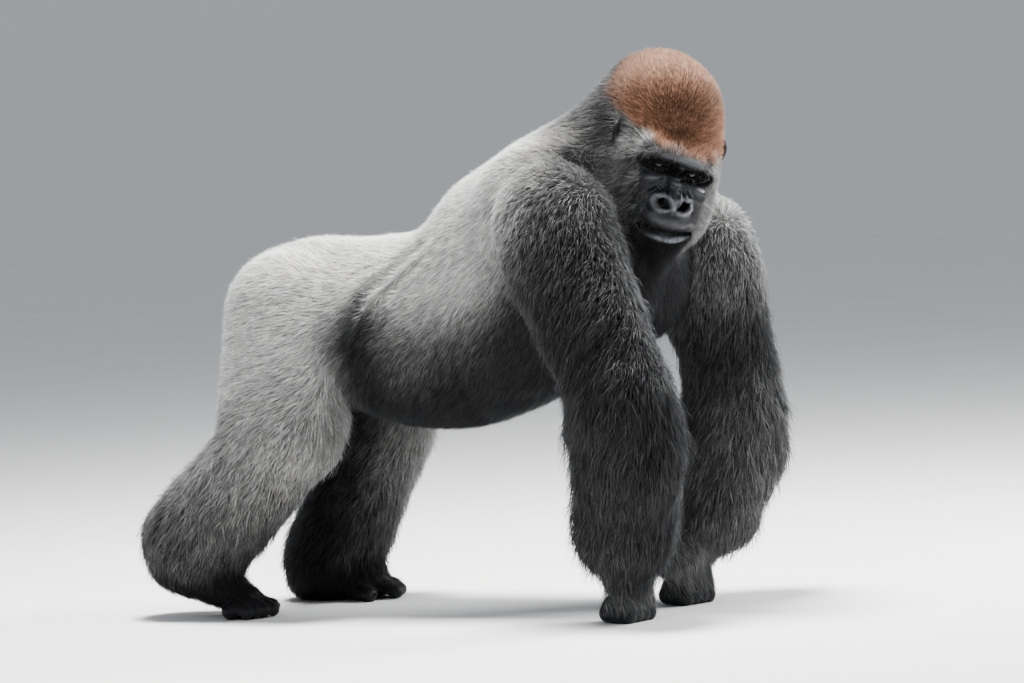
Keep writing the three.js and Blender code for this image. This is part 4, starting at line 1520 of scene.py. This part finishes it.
def eye_colour(off):
    """The colour at angles off the middle of the pupil."""
    rim = ramp(off, IRIS * 0.86, IRIS * 1.06)[:, None]
    core = ramp(off, PUPIL * 0.9, PUPIL * 1.1)[:, None]
    ring = 1 - 0.6 * ramp(off, IRIS * 0.7, IRIS)[:, None]
    return EYE_DARK * (1 - core) + (EYE_BROWN * ring * (1 - rim) + EYE_WHITE * rim) * core


def make_eye(side, material):
    """An eyeball with a bulging cornea, an iris round its pupil, turned where the face looks."""
    off = np.linspace(0, math.pi, EYE_RINGS + 1)[1:-1]
    turn = np.arange(EYE_SPOKES) * 2 * math.pi / EYE_SPOKES
    gaze = unit(HEAD[0] - HEAD[2] * 0.05)
    left = unit(np.cross(HEAD[2], gaze))
    ring = np.cos(turn)[:, None] * left + np.sin(turn)[:, None] * np.cross(gaze, left)
    points = [gaze * EYE_RADIUS * (1 + CORNEA)]
    for angle, bulge in zip(off, 1 + CORNEA * fade(off, 0, IRIS * 1.15)):
        points += list((gaze * math.cos(angle) + ring * math.sin(angle)) * EYE_RADIUS * bulge)
    points = np.array(points + [-gaze * EYE_RADIUS]) + eye_centre(side)
    last = len(points) - 1
    faces = []
    for n in range(EYE_SPOKES):
        m = (n + 1) % EYE_SPOKES
        faces += [(0, 1 + n, 1 + m), (last, last - EYE_SPOKES + m, last - EYE_SPOKES + n)]
        for a in range(1, last - EYE_SPOKES, EYE_SPOKES):
            b = a + EYE_SPOKES
            faces += [(a + n, b + n, b + m), (a + n, b + m, a + m)]
    mesh = mesh_from("eyeball", points, np.array(faces))
    off = np.concatenate([[0], np.repeat(off, EYE_SPOKES), [math.pi]])
    paint(mesh, "eye_colour", eye_colour(off))
    place(f"eyeball_{SIDES[side]}", mesh, material, "eye", f"eye_{SIDES[side]}")


NAIL_ACROSS, NAIL_ALONG = 8, 6  # how many cells a nail has each way


def make_nail(name, tip, ahead, up, width, material):
    """A domed nail on the end of a toe: a plate that curves across and along."""
    left = np.cross(up, ahead)
    top, under = [], []
    for i, j in np.ndindex(NAIL_ALONG + 1, NAIL_ACROSS + 1):
        t, s = i / NAIL_ALONG, j / NAIL_ACROSS * 2 - 1
        half = width / 2 * math.sqrt(max(1 - 2.2 * max(t - 0.55, 0) ** 2, 0.1))
        drop = width * (0.32 * s * s + 0.30 * max(t - 0.3, 0) ** 2)
        point = tip + ahead * (t - 0.55) * width * 1.15 + left * s * half - up * drop
        top.append(point + up * 1.1)
        under.append(point - up * 1.4)
    row, size = NAIL_ACROSS + 1, len(top)
    faces = []
    for i, j in np.ndindex(NAIL_ALONG, NAIL_ACROSS):
        a = i * row + j
        b, c, d = a + 1, a + row + 1, a + row
        faces += [(a, c, b), (a, d, c), (size + a, size + b, size + c),
                  (size + a, size + c, size + d)]
    first, last = range(NAIL_ACROSS), NAIL_ALONG * row
    edge = [(j, j + 1) for j in first] + [(last + j + 1, last + j) for j in first]
    for a in range(0, last, row):
        edge += [(a + NAIL_ACROSS, a + NAIL_ACROSS + row), (a + row, a)]
    for a, b in edge:
        faces += [(a, b, size + b), (a, size + b, size + a)]
    mesh = mesh_from(name, np.array(top + under), np.array(faces))
    place(name, mesh, material, "bare_skin")


def make_nails(material):
    for side, word in SIDES.items():
        ahead = frame_of(LEG[side]["heading"])[0]
        tips = [(bend + (tip - bend) * 1.05 + vec(0, 0, 9), 17) for _, bend, tip in toe_joints(side)]
        root, tip = big_toe(side)
        way = unit(tip - root)
        for number, (point, width) in enumerate(tips):
            make_nail(f"toenail_{word}_{number + 2}", point, unit(ahead - vec(0, 0, 0.5)),
                      unit(vec(0, 0, 1) + ahead * 0.5), width, material)
        up = unit(vec(0, 0, 1) - way * way[2])
        make_nail(f"toenail_{word}_1", tip + way * 6 + up * 13, way, up, 24, material)


make_camera()
make_stage()
skin = Skin(*make_skin_mesh())
make_skin(skin)
make_coat(skin)
for side in SIDES:
    make_eye(side, eye_material())
make_nails(nail_material())
